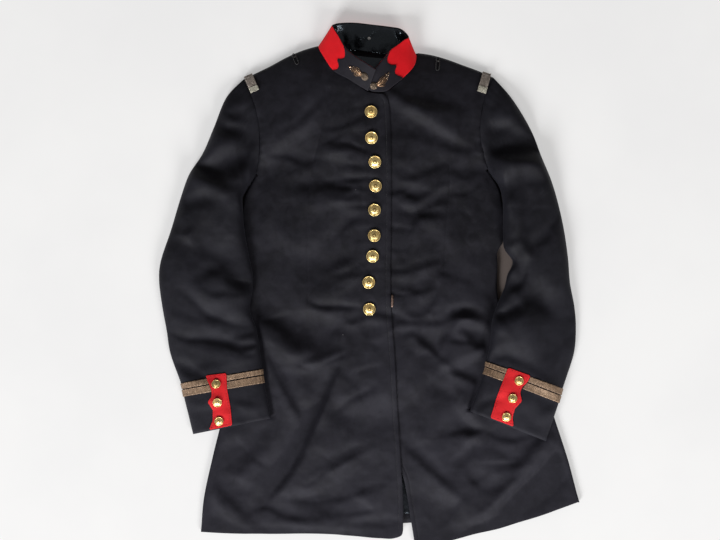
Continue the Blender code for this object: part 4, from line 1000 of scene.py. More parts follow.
# The dark cloth and its linings
WOOL_DARK, WOOL_LIGHT = rgb(0.0046, 0.0044, 0.0070), rgb(0.0212, 0.0206, 0.0288)
WOOL = broadcloth("wool_body", WOOL_DARK, WOOL_LIGHT, 0.03, rgb(0.6, 0.6, 0.75), 45, 0.05)
SLEEVE_DARK, SLEEVE_LIGHT = rgb(0.0056, 0.0055, 0.0084), rgb(0.0170, 0.0168, 0.0238)
WOOL_SLEEVE = broadcloth("wool_sleeve", SLEEVE_DARK, SLEEVE_LIGHT, 0.03, rgb(0.6, 0.62, 0.78), 28, 0.03)
TAB_DARK, TAB_LIGHT = rgb(0.0085, 0.0078, 0.0118), rgb(0.0168, 0.0152, 0.0212)
WOOL_TAB = broadcloth("wool_tab", TAB_DARK, TAB_LIGHT, 0.04, rgb(0.65, 0.55, 0.7), 60)
SATIN_DARK, SATIN_LIGHT = rgb(0.0075, 0.0078, 0.0110), rgb(0.0240, 0.0255, 0.0330)
LINING = satin("satin_lining", SATIN_DARK, SATIN_LIGHT, 12, 0.35)
# A darker copy of the lining satin for the collar's inside and the neck: painted shade
SHADED_SATIN_DARK, SHADED_SATIN_LIGHT = rgb(0.0030, 0.0030, 0.0042), rgb(0.0085, 0.0088, 0.0120)
SHADED_LINING = satin("satin_lining_painted_shade", SHADED_SATIN_DARK, SHADED_SATIN_LIGHT, 12, 0.95)

# The red cloth
RED_DARK, RED_LIGHT = rgb(0.68, 0.006, 0.012), rgb(0.86, 0.012, 0.020)
RED = broadcloth("red_collar", RED_DARK, RED_LIGHT, 0.08, rgb(1.0, 0.2, 0.2), 40)
CUFF_DARK, CUFF_LIGHT = rgb(0.54, 0.010, 0.016), rgb(0.70, 0.020, 0.026)
RED_CUFF = broadcloth("red_cuff", CUFF_DARK, CUFF_LIGHT, 0.08, rgb(1.0, 0.25, 0.25), 70)

# Lace: bright, dull and stained thread
GALON_TONES = rgb(0.42, 0.28, 0.18), rgb(0.24, 0.155, 0.10), rgb(0.055, 0.036, 0.025)
GALON = lace("galon_lace", *GALON_TONES, 0.35, 0.42, 12)
STRAP_TONES = rgb(0.50, 0.43, 0.38), rgb(0.30, 0.255, 0.22), rgb(0.11, 0.095, 0.085)
STRAP_LACE = lace("strap_lace", *STRAP_TONES, 0.45, 0.42, 70)
FOLDED_TONES = rgb(0.62, 0.60, 0.50), rgb(0.40, 0.38, 0.31), rgb(0.14, 0.13, 0.11)
STRAP_FOLDED = lace("strap_lace_folded", *FOLDED_TONES, 0.45, 0.45, 70)

# Metal and thread
GILT = metal("gilt_button", rgb(1.0, 0.80, 0.36), rgb(0.95, 0.66, 0.24), 0.30, 80.0, 0.8)
# Painted shade: a dark copy of the gilt for the buttons' sunk rings and undersides
GILT_PAINTED_SHADE = metal("gilt_painted_shade", rgb(0.32, 0.155, 0.035), rgb(0.13, 0.06, 0.018), 0.36)
BULLION = thread("bullion_thread", rgb(0.66, 0.42, 0.25), rgb(0.10, 0.055, 0.032), 0.0010, 0.75, 0.38)
BULLION_BALL = thread("bullion_ball", rgb(0.34, 0.26, 0.19), rgb(0.07, 0.05, 0.035), 0.0008, 0.6, 0.45)
BULLION_BRIGHT = metal("bullion_spangle", rgb(1.0, 0.76, 0.58), rgb(0.74, 0.46, 0.26), 0.16, 300.0)
CORD = thread("black_cord", rgb(0.012, 0.012, 0.015), rgb(0.004, 0.004, 0.005), 0.0012, 0.0, 0.85)
STITCH = thread("black_stitch", rgb(0.020, 0.021, 0.026), rgb(0.007, 0.007, 0.009), 0.0008)
RED_STITCH = thread("red_stitch", rgb(0.42, 0.010, 0.014), rgb(0.22, 0.004, 0.006), 0.0008)
BRONZE = metal("bronze_hook", rgb(0.36, 0.25, 0.21), rgb(0.14, 0.09, 0.07), 0.50, 200.0)
STEEL = metal("steel_glint", rgb(0.36, 0.35, 0.34), rgb(0.14, 0.13, 0.12), 0.35, 200.0)
WHITE = enamel("white_stud", rgb(0.98, 0.98, 0.97), rgb(0.92, 0.91, 0.88), 0.22)


# ---------------------------------------------------------------- how the cloth lies

# Folds by area, a row each: the tilt of the cloth across the fold, its width, or its width at both ends,
# and the points of its line. A negative tilt falls away up the plan and a positive one rises
BODY_LAY = {
    "right chest": """
-0.16 8.5 -161,270 -136,293 -123,308 -110,328
0.16 5.1 -163,248 -144,266 -124,277 -99,302 -76,322
-0.2 6 -151,240 -133,259 -113,275 -90,293 -75,312
0.14 10.2 -150,224 -124,246 -104,257 -82,270
-0.34 4.2>8.5 -157,215 -133,212 -110,203 -88,209
-0.3 10.2>11.9 -99,160 -74,160 -48,157
0.12 8.5 -96,126 -76,127 -57,130
0.14 10.2>8.5 -76,77 -59,91 -45,110 -28,119
-0.14 6.8>5.1 -51,79 -37,93 -23,105
-0.3 4.1>3.4 -41,265 -28,270 -14,278
0.18 3.4 -26,260 -14,259 0,262
-0.26 4.1>3.4 -76,234 -62,240 -48,248
0.3 2.7 -42,241 -30,238 -20,234 -6,228
-0.34 5.4>4.1 -57,233 -37,233 -20,227 -2,220
-0.2 3.7 -75,261 -59,260 -43,262
0.16 6.8 -74,213 -59,212 -45,203
0.22 2.7 -42,209 -28,204 -12,201
-0.2 4.1 -48,196 -26,197 -6,192
0.28 3.1 -37,181 -20,180 -3,182 14,181
-0.34 4.8>4.1 -42,175 -26,174 -6,175
0.26 2.5 -54,166 -37,165 -17,162
-0.28 4.1>3.7 -51,159 -26,160 0,158
0.22 3.4 -37,145 -23,154 -9,150
-0.26 4.1>3.7 -51,140 -34,142 -17,150
0.22 3.1 -31,133 -17,134 -3,135
-0.2 3.7 -28,128 -14,128 0,126
0.14 3.7 -23,92 -9,94 5,96
-0.12 5.1 -34,99 -20,106 -3,104
-0.13 8.5 -157,151 -147,111 -136,86 -124,72
0.12 6.8 -164,112 -154,131 -141,138
0.12 11.9 -152,75 -136,66 -113,58
0.1 13.6 -184,189 -178,149 -181,92
-0.12 10.2 -161,177 -136,188 -122,176
0.12 6.8 -133,179 -110,176 -99,164
-0.12 5.1 -31,310 -20,302 -37,288
0.14 3.7 -23,299 -12,304 0,307
0.14 6.8 -71,333 -48,330 -20,319
""",
    "left chest": """
-0.34 5.1>10.2 36,329 62,315 90,305 112,301 138,300
0.26 10.2>6.8 36,307 70,288 104,269 138,250 160,240 180,230
-0.26 6.8>8.5 138,231 160,226 192,234
-0.12 11.9 53,254 84,246 118,240
-0.26 4.4>6.1 56,176 81,180 107,191 141,206
0.22 5.4 50,174 81,164 109,160 135,163
-0.24 3.7 40,151 53,155 64,150 81,143
0.28 3.4>4.1 50,137 61,130 73,125 89,137 109,150 132,162
-0.16 6 56,119 78,115 104,130 129,142
0.22 3.4 98,122 112,127 129,126
-0.38 5.1>6.1 126,112 104,114 87,110 77,98 73,74 69,49
0.18 10.2 80,63 95,82 112,90 125,74
-0.22 3.1 140,151 163,151 178,159 189,169
0.14 5.1 140,165 158,170 172,163
0.2 2.4 158,137 169,123 180,103
0.1 3.4 180,100 194,75 206,50
-0.16 3.4 36,151 47,152 59,157
0.16 3.4 39,100 53,98 70,95
-0.16 3.4 39,89 53,91 67,89
-0.18 3.4 36,57 47,55 61,54
-0.12 6.8 152,289 141,280 126,291
-0.12 6.8 44,226 50,220 59,228
0.12 5.1 47,197 56,199 64,195
-0.14 6.8 146,188 161,180 184,189
-0.14 8.5 104,302 138,292 160,272
""",
    "right waist and side": """
0.22 4.4>3.4 -51,19 -31,27 -12,39
-0.24 4.4>3.7 -45,13 -23,14 -3,18 14,23
-0.22 6.8 -62,26 -54,31 -42,37
0.16 4.4 -51,-17 -31,-5 -14,6
-0.32 3.4>4.4 -106,-27 -90,-37 -71,-40 -48,-40 -14,-42
0.2 3.1 -48,-32 -31,-35 -14,-36
0.14 10.2 -102,-51 -79,-52 -59,-63
-0.3 4.8>5.8 -45,-56 -26,-63 -9,-58 8,-52 25,-54 39,-56
0.16 5.1 -14,-68 2,-66 25,-68
0.16 5.1 -34,-70 -20,-77 -6,-94 14,-96 36,-83
-0.14 6.8 -68,-100 -54,-83 -34,-94 -28,-108
-0.12 6.8 -12,-80 0,-96 11,-108
0.24 2.7 -183,-60 -161,-55 -135,-48
-0.38 10.2>15.3 -186,-63 -158,-70 -132,-91 -110,-107 -87,-108
0.3 6.8>7.6 -175,-98 -155,-108 -135,-124 -116,-122 -96,-116
0.28 2.5>2.7 -107,-140 -87,-136 -68,-128 -48,-119 -34,-112
-0.32 4.1>4.8 -76,-133 -62,-130 -48,-125 -37,-119
-0.3 2.2 -120,-138 -110,-142 -97,-146
0.22 2.7 -26,-149 -9,-141 2,-138 19,-136
-0.62 3.1>5.8 -52,-143 -58,-161 -68,-186 -79,-209 -91,-234
-0.85 6.1>8.8 -65,-186 -79,-212 -90,-234 -101,-259 -115,-290 -132,-318 -166,-360
-0.46 5.8 -172,-114 -158,-150 -139,-184 -124,-209 -108,-234
-0.16 6.8 -54,-142 -37,-160 -17,-178
0.22 3.1 -62,-212 -37,-193 -14,-181 5,-171
-0.18 5.8 -54,-219 -26,-196 -3,-184 14,-172
0.14 13.6 -155,-122 -132,-139 -104,-136
-0.12 10.2 -107,-161 -87,-178 -68,-161
0.12 15.3 -26,-203 -3,-212 19,-195
-0.14 5.1 -107,-74 -101,-91 -93,-108
0.14 5.8 -42,1 -20,15 -12,18
-0.1 13.6 -99,18 -79,1 -65,10
""",
    "left waist and side": """
0.26 4.4 36,26 58,29 81,38 112,46
-0.34 3.7>4.4 36,23 61,20 84,25 118,38
0.16 6.8 39,8 70,6 98,14 118,17
0.3 2.5 33,-13 50,-15 72,-15
-0.3 3.4>4.1 33,-19 58,-19 84,-15 112,-6
0.14 6.1 81,-35 101,-24 112,-7
-0.34 4.4>5.1 125,13 118,15 119,-2 113,-24 101,-46
-0.16 6.8 126,15 140,13 163,4
-0.22 3.7 61,-51 81,-53 98,-47
0.24 5.1 36,-45 50,-48 67,-56
0.26 5.8>7.1 99,-56 123,-52 143,-41 168,-38 191,-45
-0.56 5.8>6.5 91,-66 117,-65 137,-60 154,-54 174,-54 191,-59
-0.6 7.8 146,-60 136,-80 126,-97 122,-116 130,-139
-0.46 5.1>6.1 88,-72 87,-94 103,-107 120,-124 138,-138
0.3 8.5>9.3 146,-77 171,-69 196,-76 214,-77
-0.46 5.4>6.8 148,-98 174,-101 196,-105 213,-100
0.26 8.5 202,-112 174,-125 146,-136 120,-152
-0.3 4.8>5.4 138,-149 156,-156 176,-163 193,-175
0.18 5.1 75,-125 89,-114 109,-122 120,-139
0.18 4.4 39,-81 56,-77 78,-74
-0.22 4.4 61,-89 75,-86 89,-96
-0.2 4.4 39,-75 50,-66 72,-66
-0.16 11.9 103,-175 123,-189 140,-186
-0.22 5.1 103,-164 98,-195 95,-226
0.22 8.5 109,-161 137,-180 157,-200 165,-223 193,-241
-0.14 6.8 64,-111 75,-122 70,-139 64,-153
0.12 13.6 56,-195 78,-181 89,-175
""",
    "right skirt": """
-0.12 11.9 -87,-265 -70,-245 -45,-234
0.14 6.8 -101,-281 -87,-279 -68,-287
-0.34 4.4>4.1 -122,-335 -104,-338 -82,-324 -51,-304 -8,-280
0.16 3.4 -45,-281 -26,-270 -6,-268
0.16 6.8 -126,-353 -101,-351 -76,-343
-0.2 5.1>5.8 -160,-362 -115,-366 -70,-364 -31,-358 -3,-346 25,-334
-0.3 5.8>6.5 -196,-382 -171,-377 -149,-387 -126,-394 -93,-396
-0.26 7.5>7.8 -252,-346 -233,-365 -208,-389
0.14 6.8 -261,-368 -241,-388 -213,-401
-0.2 11.9 -216,-312 -199,-290 -180,-279 -171,-262
-0.2 4.1 -192,-296 -181,-305
0.16 5.1 -219,-407 -157,-405 -87,-409 -3,-414
-0.16 10.2 -104,-376 -76,-385 -45,-390
0.2 5.1 -20,-360 -9,-364 0,-373
-0.2 3.4 -34,-387 -17,-385 11,-381
0.14 8.5 -17,-394 11,-392 39,-390
-0.14 5.1 -26,-404 8,-405 44,-402
-0.1 13.6 -34,-237 -17,-251 5,-248
0.12 13.6 -177,-293 -160,-279 -143,-240
0.12 10.2 -261,-287 -250,-273 -239,-270
0.12 5.1 -241,-323 -222,-326 -202,-334
-0.12 5.1 -210,-351 -199,-351 -188,-329
0.12 8.5 -48,-326 -31,-318 -20,-306
-0.12 6.8 -3,-351 14,-346 39,-318
""",
    "left skirt": """
-0.3 5.8>7.1 131,-255 156,-250 179,-248 204,-238
0.26 7.8>7.1 159,-217 173,-231 190,-241 207,-237
0.24 4.4>5.1 141,-294 159,-279 173,-264 201,-248
-0.18 4.8 162,-302 172,-287 182,-269
-0.26 5.8>6.1 201,-252 224,-261 246,-263 269,-258
-0.44 8.5>9.3 297,-256 280,-272 266,-288 252,-302 232,-309
0.4 13.6>15.3 305,-279 285,-307 257,-333 226,-361 195,-385
-0.46 7.8 257,-322 237,-334 218,-354 193,-376
-0.18 15.3 333,-323 310,-340 285,-360 260,-375
-0.3 5.8>6.5 56,-268 75,-287 100,-311 122,-329 142,-347 162,-365
0.18 8.5 89,-276 106,-293 123,-312 131,-323
0.14 13.6 81,-343 103,-351 131,-362
-0.22 6.1 162,-360 148,-376 137,-393 123,-407
-0.16 6.1 179,-334 193,-347 209,-346
-0.14 5.1 168,-318 176,-332 187,-326
0.24 2 182,-300 212,-299 257,-298
-0.12 3.1 114,-362 109,-385
0.14 7.6 125,-408 170,-400 218,-390 240,-385
-0.16 5.1 218,-385 240,-374 263,-374
0.12 10.2 190,-312 210,-320 224,-315
-0.12 6.8 190,-287 204,-279 218,-287
0.12 6.8 92,-265 109,-259 114,-248
-0.12 3.4 96,-251 99,-226 102,-206
""",
}
SLEEVE_LAY = {
    "right sleeve": """
0.22 4.1 -235,295 -215,301 -193,303
-0.4 3.4>4.1 -246,293 -229,282 -210,278 -181,282
0.2 2 -210,283 -195,284 -181,284
0.26 6.8>7.6 -255,288 -241,272 -215,269
-0.24 11 -266,266 -240,258 -207,258
0.26 3.1 -212,240 -198,248 -178,250
-0.34 4.4 -209,235 -195,238 -176,242
0.36 8.5>10.2 -291,207 -266,209 -249,222 -221,228
-0.62 11>15.3 -295,201 -274,190 -246,184 -220,196 -204,219 -187,239
0.26 7.6>8.5 -303,147 -280,155 -251,147 -220,154
-0.22 9.3 -306,124 -291,131 -274,134
0.24 5.1 -330,80 -316,79 -301,66
-0.28 5.1 -327,90 -313,87 -300,94
0.12 8.5 -296,84 -268,99 -242,80
-0.12 8.5 -268,92 -254,97 -248,77
-0.12 6.8 -260,123 -251,117 -243,131
0.12 10.2 -240,123 -229,131 -217,120
-0.12 10.2 -310,58 -287,55 -268,46
-0.14 10.2 -296,35 -276,41 -251,38
-0.52 9.3 -270,11 -248,21 -234,13 -217,-3 -186,-11
0.24 2.7 -231,10 -214,6 -191,4
-0.22 5.1 -287,4 -267,-17 -242,-19 -211,-20
0.3 10.2 -304,-6 -287,-30 -256,-46 -233,-59 -197,-55
-0.3 6.1 -312,-18 -290,-35 -273,-54 -247,-64 -219,-72
-0.14 6.8 -329,-48 -306,-58 -275,-63
-0.26 2.7>8.5 -334,-84 -309,-94 -275,-96 -241,-102 -219,-112 -194,-129
0.12 6.8 -267,-83 -239,-89 -213,-100
-0.3 4.4 -222,-92 -208,-89 -191,-84
-0.32 3.7 -206,-108 -197,-107 -185,-103
0.24 3.4 -208,-100 -197,-98 -185,-96
0.24 3.4 -202,-118 -191,-114 -180,-108
0.22 5.8 -331,-126 -306,-132 -278,-149
-0.3 9.3 -328,-136 -308,-150 -283,-157 -266,-164
-0.2 6.8 -283,-140 -261,-136 -238,-136
0.16 6.8 -247,-140 -219,-136 -185,-126
-0.16 4.1 -302,-222 -283,-218 -260,-216
-0.18 5.8 -235,-212 -216,-201 -191,-203
0.18 3.1 -232,-205 -224,-205 -213,-209
-0.14 6.8 -300,-189 -286,-195 -269,-189
0.14 6.8 -294,-209 -283,-212 -266,-206
-0.16 5.1 -227,-237 -218,-228 -207,-239
0.12 6.8 -213,-220 -190,-214 -168,-212
""",
    "left sleeve": """
-0.22 5.1 198,296 215,299 225,325
0.18 5.1 201,303 210,319 220,333
0.24 2.4 191,291 203,290 219,286
-0.34 3.1>3.4 191,287 203,285 217,280
0.28 5.1>5.8 195,282 214,272 237,276
0.3 9.3>11 217,273 243,267 265,255 285,245
-0.24 7.6 186,255 203,257 220,262
0.28 4.4>5.1 189,236 206,232 223,235
-0.6 11.9>14.4 186,227 214,222 248,218 276,220 299,225
0.3 8.5>9.3 231,179 254,192 271,194 285,182
-0.28 6.8 248,171 250,142 248,114 245,77
0.22 5.1 260,165 260,123 258,80
-0.24 5.8 280,142 276,108 273,77
-0.2 6.8 276,168 290,169 301,174
0.2 4.4 281,77 295,94 312,108
-0.26 6.1 284,63 301,75 309,92 318,106
-0.3 6.8 230,56 247,69 261,68 270,52
0.26 6.8 208,191 221,179 229,154 233,123 235,92 230,66
-0.24 6.8 235,182 239,154 241,120
-0.14 5.1 206,268 214,253 231,259
-0.4 5.1 261,55 267,38 266,18 258,-2 254,-16
0.26 6.1 247,35 252,13 247,-10 240,-30
-0.34 7.6 220,-27 233,-18 252,-6
0.34 5.1>5.8 210,-45 227,-44 244,-35
-0.52 9.3>13.6 202,-51 227,-55 249,-48 272,-41 286,-49
-0.22 10.2 272,-46 283,-72 285,-100 281,-128
0.26 10.2 204,-122 229,-111 252,-119
0.16 5.1 210,-91 218,-83 229,-91
-0.18 4.8 212,-129 229,-126 246,-131
-0.2 6.8 254,-133 282,-149 310,-167 327,-175
0.1 13.6 298,15 314,-13 331,-27
-0.1 13.6 303,-55 319,-77 336,-100
-0.2 7.6 282,-228 296,-212 313,-212
0.18 5.1 301,-234 312,-226 324,-239
-0.18 5.1 257,-223 270,-239 284,-245
0.14 6.8 187,-195 206,-189 223,-186
-0.16 5.1 178,-223 195,-203 212,-200
-0.14 6.8 268,-189 282,-195 302,-200
0.14 8.5 251,-217 259,-234 279,-223
""",
}
FOLD_REACH = 3.8  # widths within which a fold dies away
FOLD_GAIN = 1.55

# Uneven low swells of the cloth: wavelength, height
BODY_SWELLS = ((95.0, 2.2), (45.0, 1.7), (24.0, 0.95), (12.0, 0.40))
SLEEVE_SWELLS = ((80.0, 1.8), (36.0, 1.3), (18.0, 0.6), (10.0, 0.24))

# Sewn darts of the chest, with the depth and width of their line
DARTS = [
    plan("-66,332 -70,300 -82,250 -97,190 -103,130 -103,60 -102,-30"),
    plan("137,200 137,160 134,130 130,80 129,40 127,14"),
]
DART_DIP, DART_WIDTH = 0.9, 1.6

BUTTON_DIP, BUTTON_DIP_WIDTH = 0.9, 13.0  # of the cloth under a front button
LEAST_HEIGHT, LEAST_SHARE = 4.0, 0.5  # a fold sinks by no more than this share of the height above that
SEAM_DIP, SEAM_REACH = 1.3, 2.6  # the cloth turns down this far beside an armhole seam
STITCH_INSET, STITCH_DIP, STITCH_REACH = 7.4, 0.5, 1.1  # topstitching inside the front edges
HEAD_WIDTH, ROW_LENGTH = 170.0, 34.0  # of the sleeve head across, and of a row along the sleeve
FAR = 60.0  # stands for any distance at which a sleeve's edge no longer matters

# Gathers at the armhole seam: height, pitch along it, reach away from it, swing and spell of their unevenness
BODY_GATHERS = (0.35, 15.0, 11.0, 5.0, 19.0)
SLEEVE_GATHERS = (0.55, 13.0, 16.0, 6.0, 23.0)


def strokes(areas):
    """Each fold's tilt, its widths at the start and the end, and its line, divided finely."""
    for row in "".join(areas.values()).split("\n"):
        if row:
            tilt, widths, pairs = row.split(maxsplit=2)
            start, _, end = widths.partition(">")
            yield float(tilt), float(start), float(end or start), path(plan(pairs), 2.0)


BODY_STROKES, SLEEVE_STROKES = list(strokes(BODY_LAY)), list(strokes(SLEEVE_LAY))


def folded(x, y, folds):
    """Height that folds add: a slope across each line, dying away on both sides and at both ends."""
    x, y = np.broadcast_arrays(np.asarray(x, float), np.asarray(y, float))
    total = np.zeros(x.size)
    flat = np.stack([x.reshape(-1), y.reshape(-1)], axis=1)
    for tilt, start, end, line in folds:
        over = leftward(line)
        over *= np.sign(over[:, 1].mean())
        reach = max(start, end) * FOLD_REACH * 1.6
        near = np.flatnonzero(((flat > line.min(0) - reach) & (flat < line.max(0) + reach)).all(axis=1))
        if not len(near):
            continue
        away = flat[near][:, None, :] - line[None, :, :]
        apart = (away**2).sum(axis=2)
        least = apart.min(axis=1)
        spread = 1.5 * max(start, end)
        weight = np.exp((least[:, None] - apart) / (2 * spread**2))
        weight /= weight.sum(axis=1)[:, None]
        off = ((away * over[None, :, :]).sum(axis=2) * weight).sum(axis=1)
        share = (weight * np.linspace(0.0, 1.0, len(line))[None, :]).sum(axis=1)
        beyond = np.maximum(least - off**2, 0.0)
        width = start + (end - start) * share
        off = off / width
        taper = (1 - np.abs(2 * share - 1) ** 4) * np.exp(-beyond / (3.0 * width) ** 2)
        total[near] += FOLD_GAIN * tilt * width * np.tanh(off) * bell(off, FOLD_REACH) * taper
    return total.reshape(x.shape)


def rippled(x, y, seed, swells):
    """Uneven low swells: a sum of noise by wavelength and height."""
    x, y = np.broadcast_arrays(np.asarray(x, float), np.asarray(y, float))
    return sum(height * noise_at(x, y, seed + wave, wave) for wave, height in swells)


def gathered(along, away, height, pitch, reach, swing, spell):
    """Height of the small gathers beside a seam."""
    place = along + swing * np.sin(along / spell)
    return height * np.sin(2 * math.pi * place / pitch) * np.exp(-away / reach)


def sleeve_clear(x, y):
    """How far a body point lies inside the sleeve's inner edge, and a large value below the cuff."""
    result = np.full(np.shape(x), FAR)
    for side, sign in SIGN.items():
        down = SLEEVES[side].inner_y[::-1]
        edge = np.interp(y, down, (sign * SLEEVES[side].inner_x)[::-1])
        clear = np.where(y < down[0], FAR, edge - sign * x)
        result = np.where(sign * x > 0, clear, result)
    return result


def kept_up(detail, height):
    """Detail that doesn't sink the cloth too near the table."""
    return np.maximum(detail, -LEAST_SHARE * (height - LEAST_HEIGHT))


def body_detail(x, y):
    """What the laid cloth adds to the body's plain height, away from its outline and the sleeves."""
    free = ease(below_shoulder(x, y) / 14.0) * ease((top_reach(x, y) - np.abs(x)) / 16.0)
    free = free * ease(sleeve_clear(x, y) / 12.0)
    detail = folded(x, y, BODY_STROKES) + rippled(x, y, 3.0, BODY_SWELLS)
    return kept_up(detail * free, body_top(x, y))


def sewn(x, y):
    """The shallow lines of the sewn darts."""
    return -sum(DART_DIP * bell(line_distance(path(line, 2.0), x, y), DART_WIDTH) for line in DARTS)


def button_dip(x, y):
    """The cloth is drawn down under each front button."""
    return -sum(BUTTON_DIP * bell(np.hypot(x - bx, y - by), BUTTON_DIP_WIDTH) for bx, by in FRONT_BUTTONS)


def front_height(side, x, y):
    """Height of a front's outer face as it lies."""
    plain = right_top(x, y) if side == "right" else body_top(x, y)
    height = plain + body_detail(x, y) + sewn(x, y)
    return height + button_dip(x, y) if side == "right" else height


def sleeve_face(side, across, row):
    """A point on a sleeve's outer face as it lies, creases, gathers and seam included."""
    across, row = np.broadcast_arrays(np.asarray(across, float), np.asarray(row, float))
    points = sleeve_point(side, across, row)
    x, y = points[..., 0], points[..., 1]
    over = np.clip(across, 0.0, 1.0)
    rise, down = np.sin(over * math.pi), row * ROW_LENGTH
    detail = folded(x, y, SLEEVE_STROKES) + rippled(x, y, 8.0, SLEEVE_SWELLS)
    detail = kept_up(detail, points[..., 2]) * ease(rise * 1.5) * ease(row / 0.7)
    seam = gathered(over * HEAD_WIDTH, down, *SLEEVE_GATHERS) - SEAM_DIP * bell(down, SEAM_REACH)
    points[..., 2] += detail + seam * rise
    return points


# ---------------------------------------------------------------- the pieces

SKINS = {}  # outer faces of laid cloths that trims and buttons lie on


def skin_z(name, x, y):
    """Height of a laid cloth at a plan point, or of the nearest point on it beyond its edge."""
    hit = SKINS[name].ray_cast((float(x), float(y), 200.0), (0, 0, -1))[0]
    return hit.z if hit else SKINS[name].find_nearest((float(x), float(y), 10.0))[0].z


def skin_heights(name, points):
    """Heights of a laid cloth at plan points."""
    return np.array([skin_z(name, *point) for point in points])


def keep_skin(name, points, faces):
    SKINS[name] = BVHTree.FromPolygons(points.reshape(-1, 3).tolist(), faces.tolist())


def piece_of(name, points, faces, material, slot, *nodes):
    """A piece of the tunic that stands for CAD nodes."""
    obj = new_object(name, points, faces, material)
    if nodes:
        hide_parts(*nodes)
    return obj


def dress(obj, material, faces):
    """A second material on some of a piece's faces."""
    obj.data.materials.append(material)
    obj.data.polygons.foreach_set("material_index", faces.astype(np.int32) * (len(obj.data.materials) - 1))


# ---------------------------------------------------------------- fronts and back

FINE = 3.6  # spacing of the fronts' net
BORDER = 3.0  # spacing along their outline
COARSE, BACK_NET = 6.0, 9.0  # the same for the back
FRONT_GAP = 0.35  # beside the sleeve's end
SHOULDER_INSET = 0.6
SHOULDER_LENGTH, ARMHOLE_LENGTH = 130, 168  # about, in millimetres
PIT_CLEAR = 0.4  # the side fold starts this far below the armpit
EDGE_PRESS, EDGE_PRESS_REACH = 0.75, 3.2  # depth and width of the press along the upper front's edge
EDGE_PRESSED_DOWN_TO = 22.0  # height in the plan at which that ends, above the waist
EDGE_PUFF, EDGE_TURN = 0.25, 0.5  # the cloth swells behind the front edge and turns down at it
FOLD_TURNS, FOLD_REACHES = 12, 7  # points round the side fold and on to the seam underneath

# Rows of points laid beside the lines of a front, by distance from the line
EDGE_ROWS = (1.2, 2.8, 4.6, 6.0, 6.7, STITCH_INSET, 8.1, 8.8, 10.4, 12.4)
HEM_ROWS = (1.2, 3.0)
ARMHOLE_ROWS = (0.8, 1.8, 3.0, 4.6)
NECK_ROWS = (0.8, 2.0, 3.6)
DART_ROWS = (-1.6, -0.8, 0.0, 0.8, 1.6)

# Seams of the back, with the depth and width of their groove
BACK_SEAMS = [
    plan("-0.7,396 0,200 0,0 3,-200 8,-402"),
    plan("-196,292 -150,230 -92,120 -72,0 -84,-180 -100,-406"),
    plan("196,296 150,232 92,120 72,0 84,-180 104,-394"),
]
BACK_SEAM_DEPTH, BACK_SEAM_WIDTH = 0.7, 1.4
BACK_SEAM_ROWS = (-3.0, -1.5, 0.0, 1.5, 3.0)
BACK_PIT_INSET, BACK_PIT_DROP, BACK_SIDE_DROP = 4.5, 0.5, 1.2  # the back's corner at an armpit


def shoulder_edge(side, step):
    """Plan points of a shoulder, from the neck to the shoulder point."""
    end = ARMHOLES[side]["point"][0] - SIGN[side] * SHOULDER_INSET
    x = np.linspace(NECK_POINT[side][0], end, round(SHOULDER_LENGTH / step))
    return np.stack([x, smooth(SHOULDER.x, SHOULDER.y, x)], axis=1)


def armhole_edge(side, gap, step):
    """Plan points of an armhole from the shoulder point to the armpit, a gap inside the sleeve's end."""
    points = armhole(side, np.linspace(1.0, 0.0, round(ARMHOLE_LENGTH / step)))
    return offset_line(points, -SIGN[side] * gap)[1:-1]


def side_edge(side, top, bottom, step):
    """Plan points where the top turns into the side fold, from the armpit down to the hem."""
    y = np.linspace(top, bottom, round((top - bottom) / step) + 1)
    return np.stack([SIGN[side] * top_reach(np.full(y.shape, float(SIGN[side])), y), y], axis=1)


def rows_beside(outline, line, distances):
    """Rows of points beside a line, on its side that lies inside the outline."""
    rows = []
    for distance in distances:
        for way in (1, -1):
            rows.append(kept_inside(outline, offset_line(line, way * distance), 1.0, distance * 0.9))
    return rows


def front_points(side):
    """The side fold's line, and a front's points and triangles."""
    sides = side_edge(side, ARMHOLES[side]["pit"][1] - PIT_CLEAR, HEM[side][-1][1], BORDER)
    neck = path(NECK[side] + [NECK_POINT[side]], BORDER)
    arm = armhole_edge(side, FRONT_GAP, BORDER)
    hem = path(HEM[side][:-1] + [tuple(sides[-1])], BORDER)
    edge = path(EDGE[side], BORDER)
    outline = [neck[:-1], shoulder_edge(side, BORDER), arm, sides, hem[::-1][1:-1], edge[::-1][:-1]]
    outline = np.concatenate(outline)
    rows = rows_beside(outline, edge, EDGE_ROWS) + rows_beside(outline, path(HEM[side], BORDER), HEM_ROWS)
    rows += rows_beside(outline, arm[::-1], ARMHOLE_ROWS) + rows_beside(outline, neck, NECK_ROWS)
    rows += [offset_line(path(dart, BORDER), off) for dart in DARTS for off in DART_ROWS]
    lines = sparse(kept_inside(outline, np.concatenate(rows), 1.0, 0.7), 1.0, least=0.65)
    flat, faces = filled(outline, [lines, sparse(net(outline, FINE), FINE, near=lines, least=0.55)])
    return sides, flat, faces


def front_relief(side, x, y):
    """Height of a front's outer face with its pressed edge, stitching, armhole seam and gathers."""
    height = front_height(side, x, y)
    away = line_distance(path(EDGE[side], 1.0), x, y)
    height -= STITCH_DIP * bell(away, STITCH_REACH, STITCH_INSET)
    height += EDGE_PUFF * bell(away, 2.6, 4.0) - EDGE_TURN * bell(away, 1.0)
    if side == "right":
        height -= EDGE_PRESS * bell(away, EDGE_PRESS_REACH) * ease((y - EDGE_PRESSED_DOWN_TO) / 14.0)
    pit, point = ARMHOLES[side]["pit"], ARMHOLES[side]["point"]
    seam = line_distance(armhole(side, np.linspace(0, 1, 300)), x, y)
    above_pit = ease((y - pit[1] + PIT_CLEAR) / 22.0)
    height -= SEAM_DIP * bell(seam, SEAM_REACH) * above_pit
    gather = gathered(np.hypot(x - point[0], y - point[1]), seam, *BODY_GATHERS)
    return height + gather * above_pit * ease(below_shoulder(x, y) / SHOULDER_CALM)


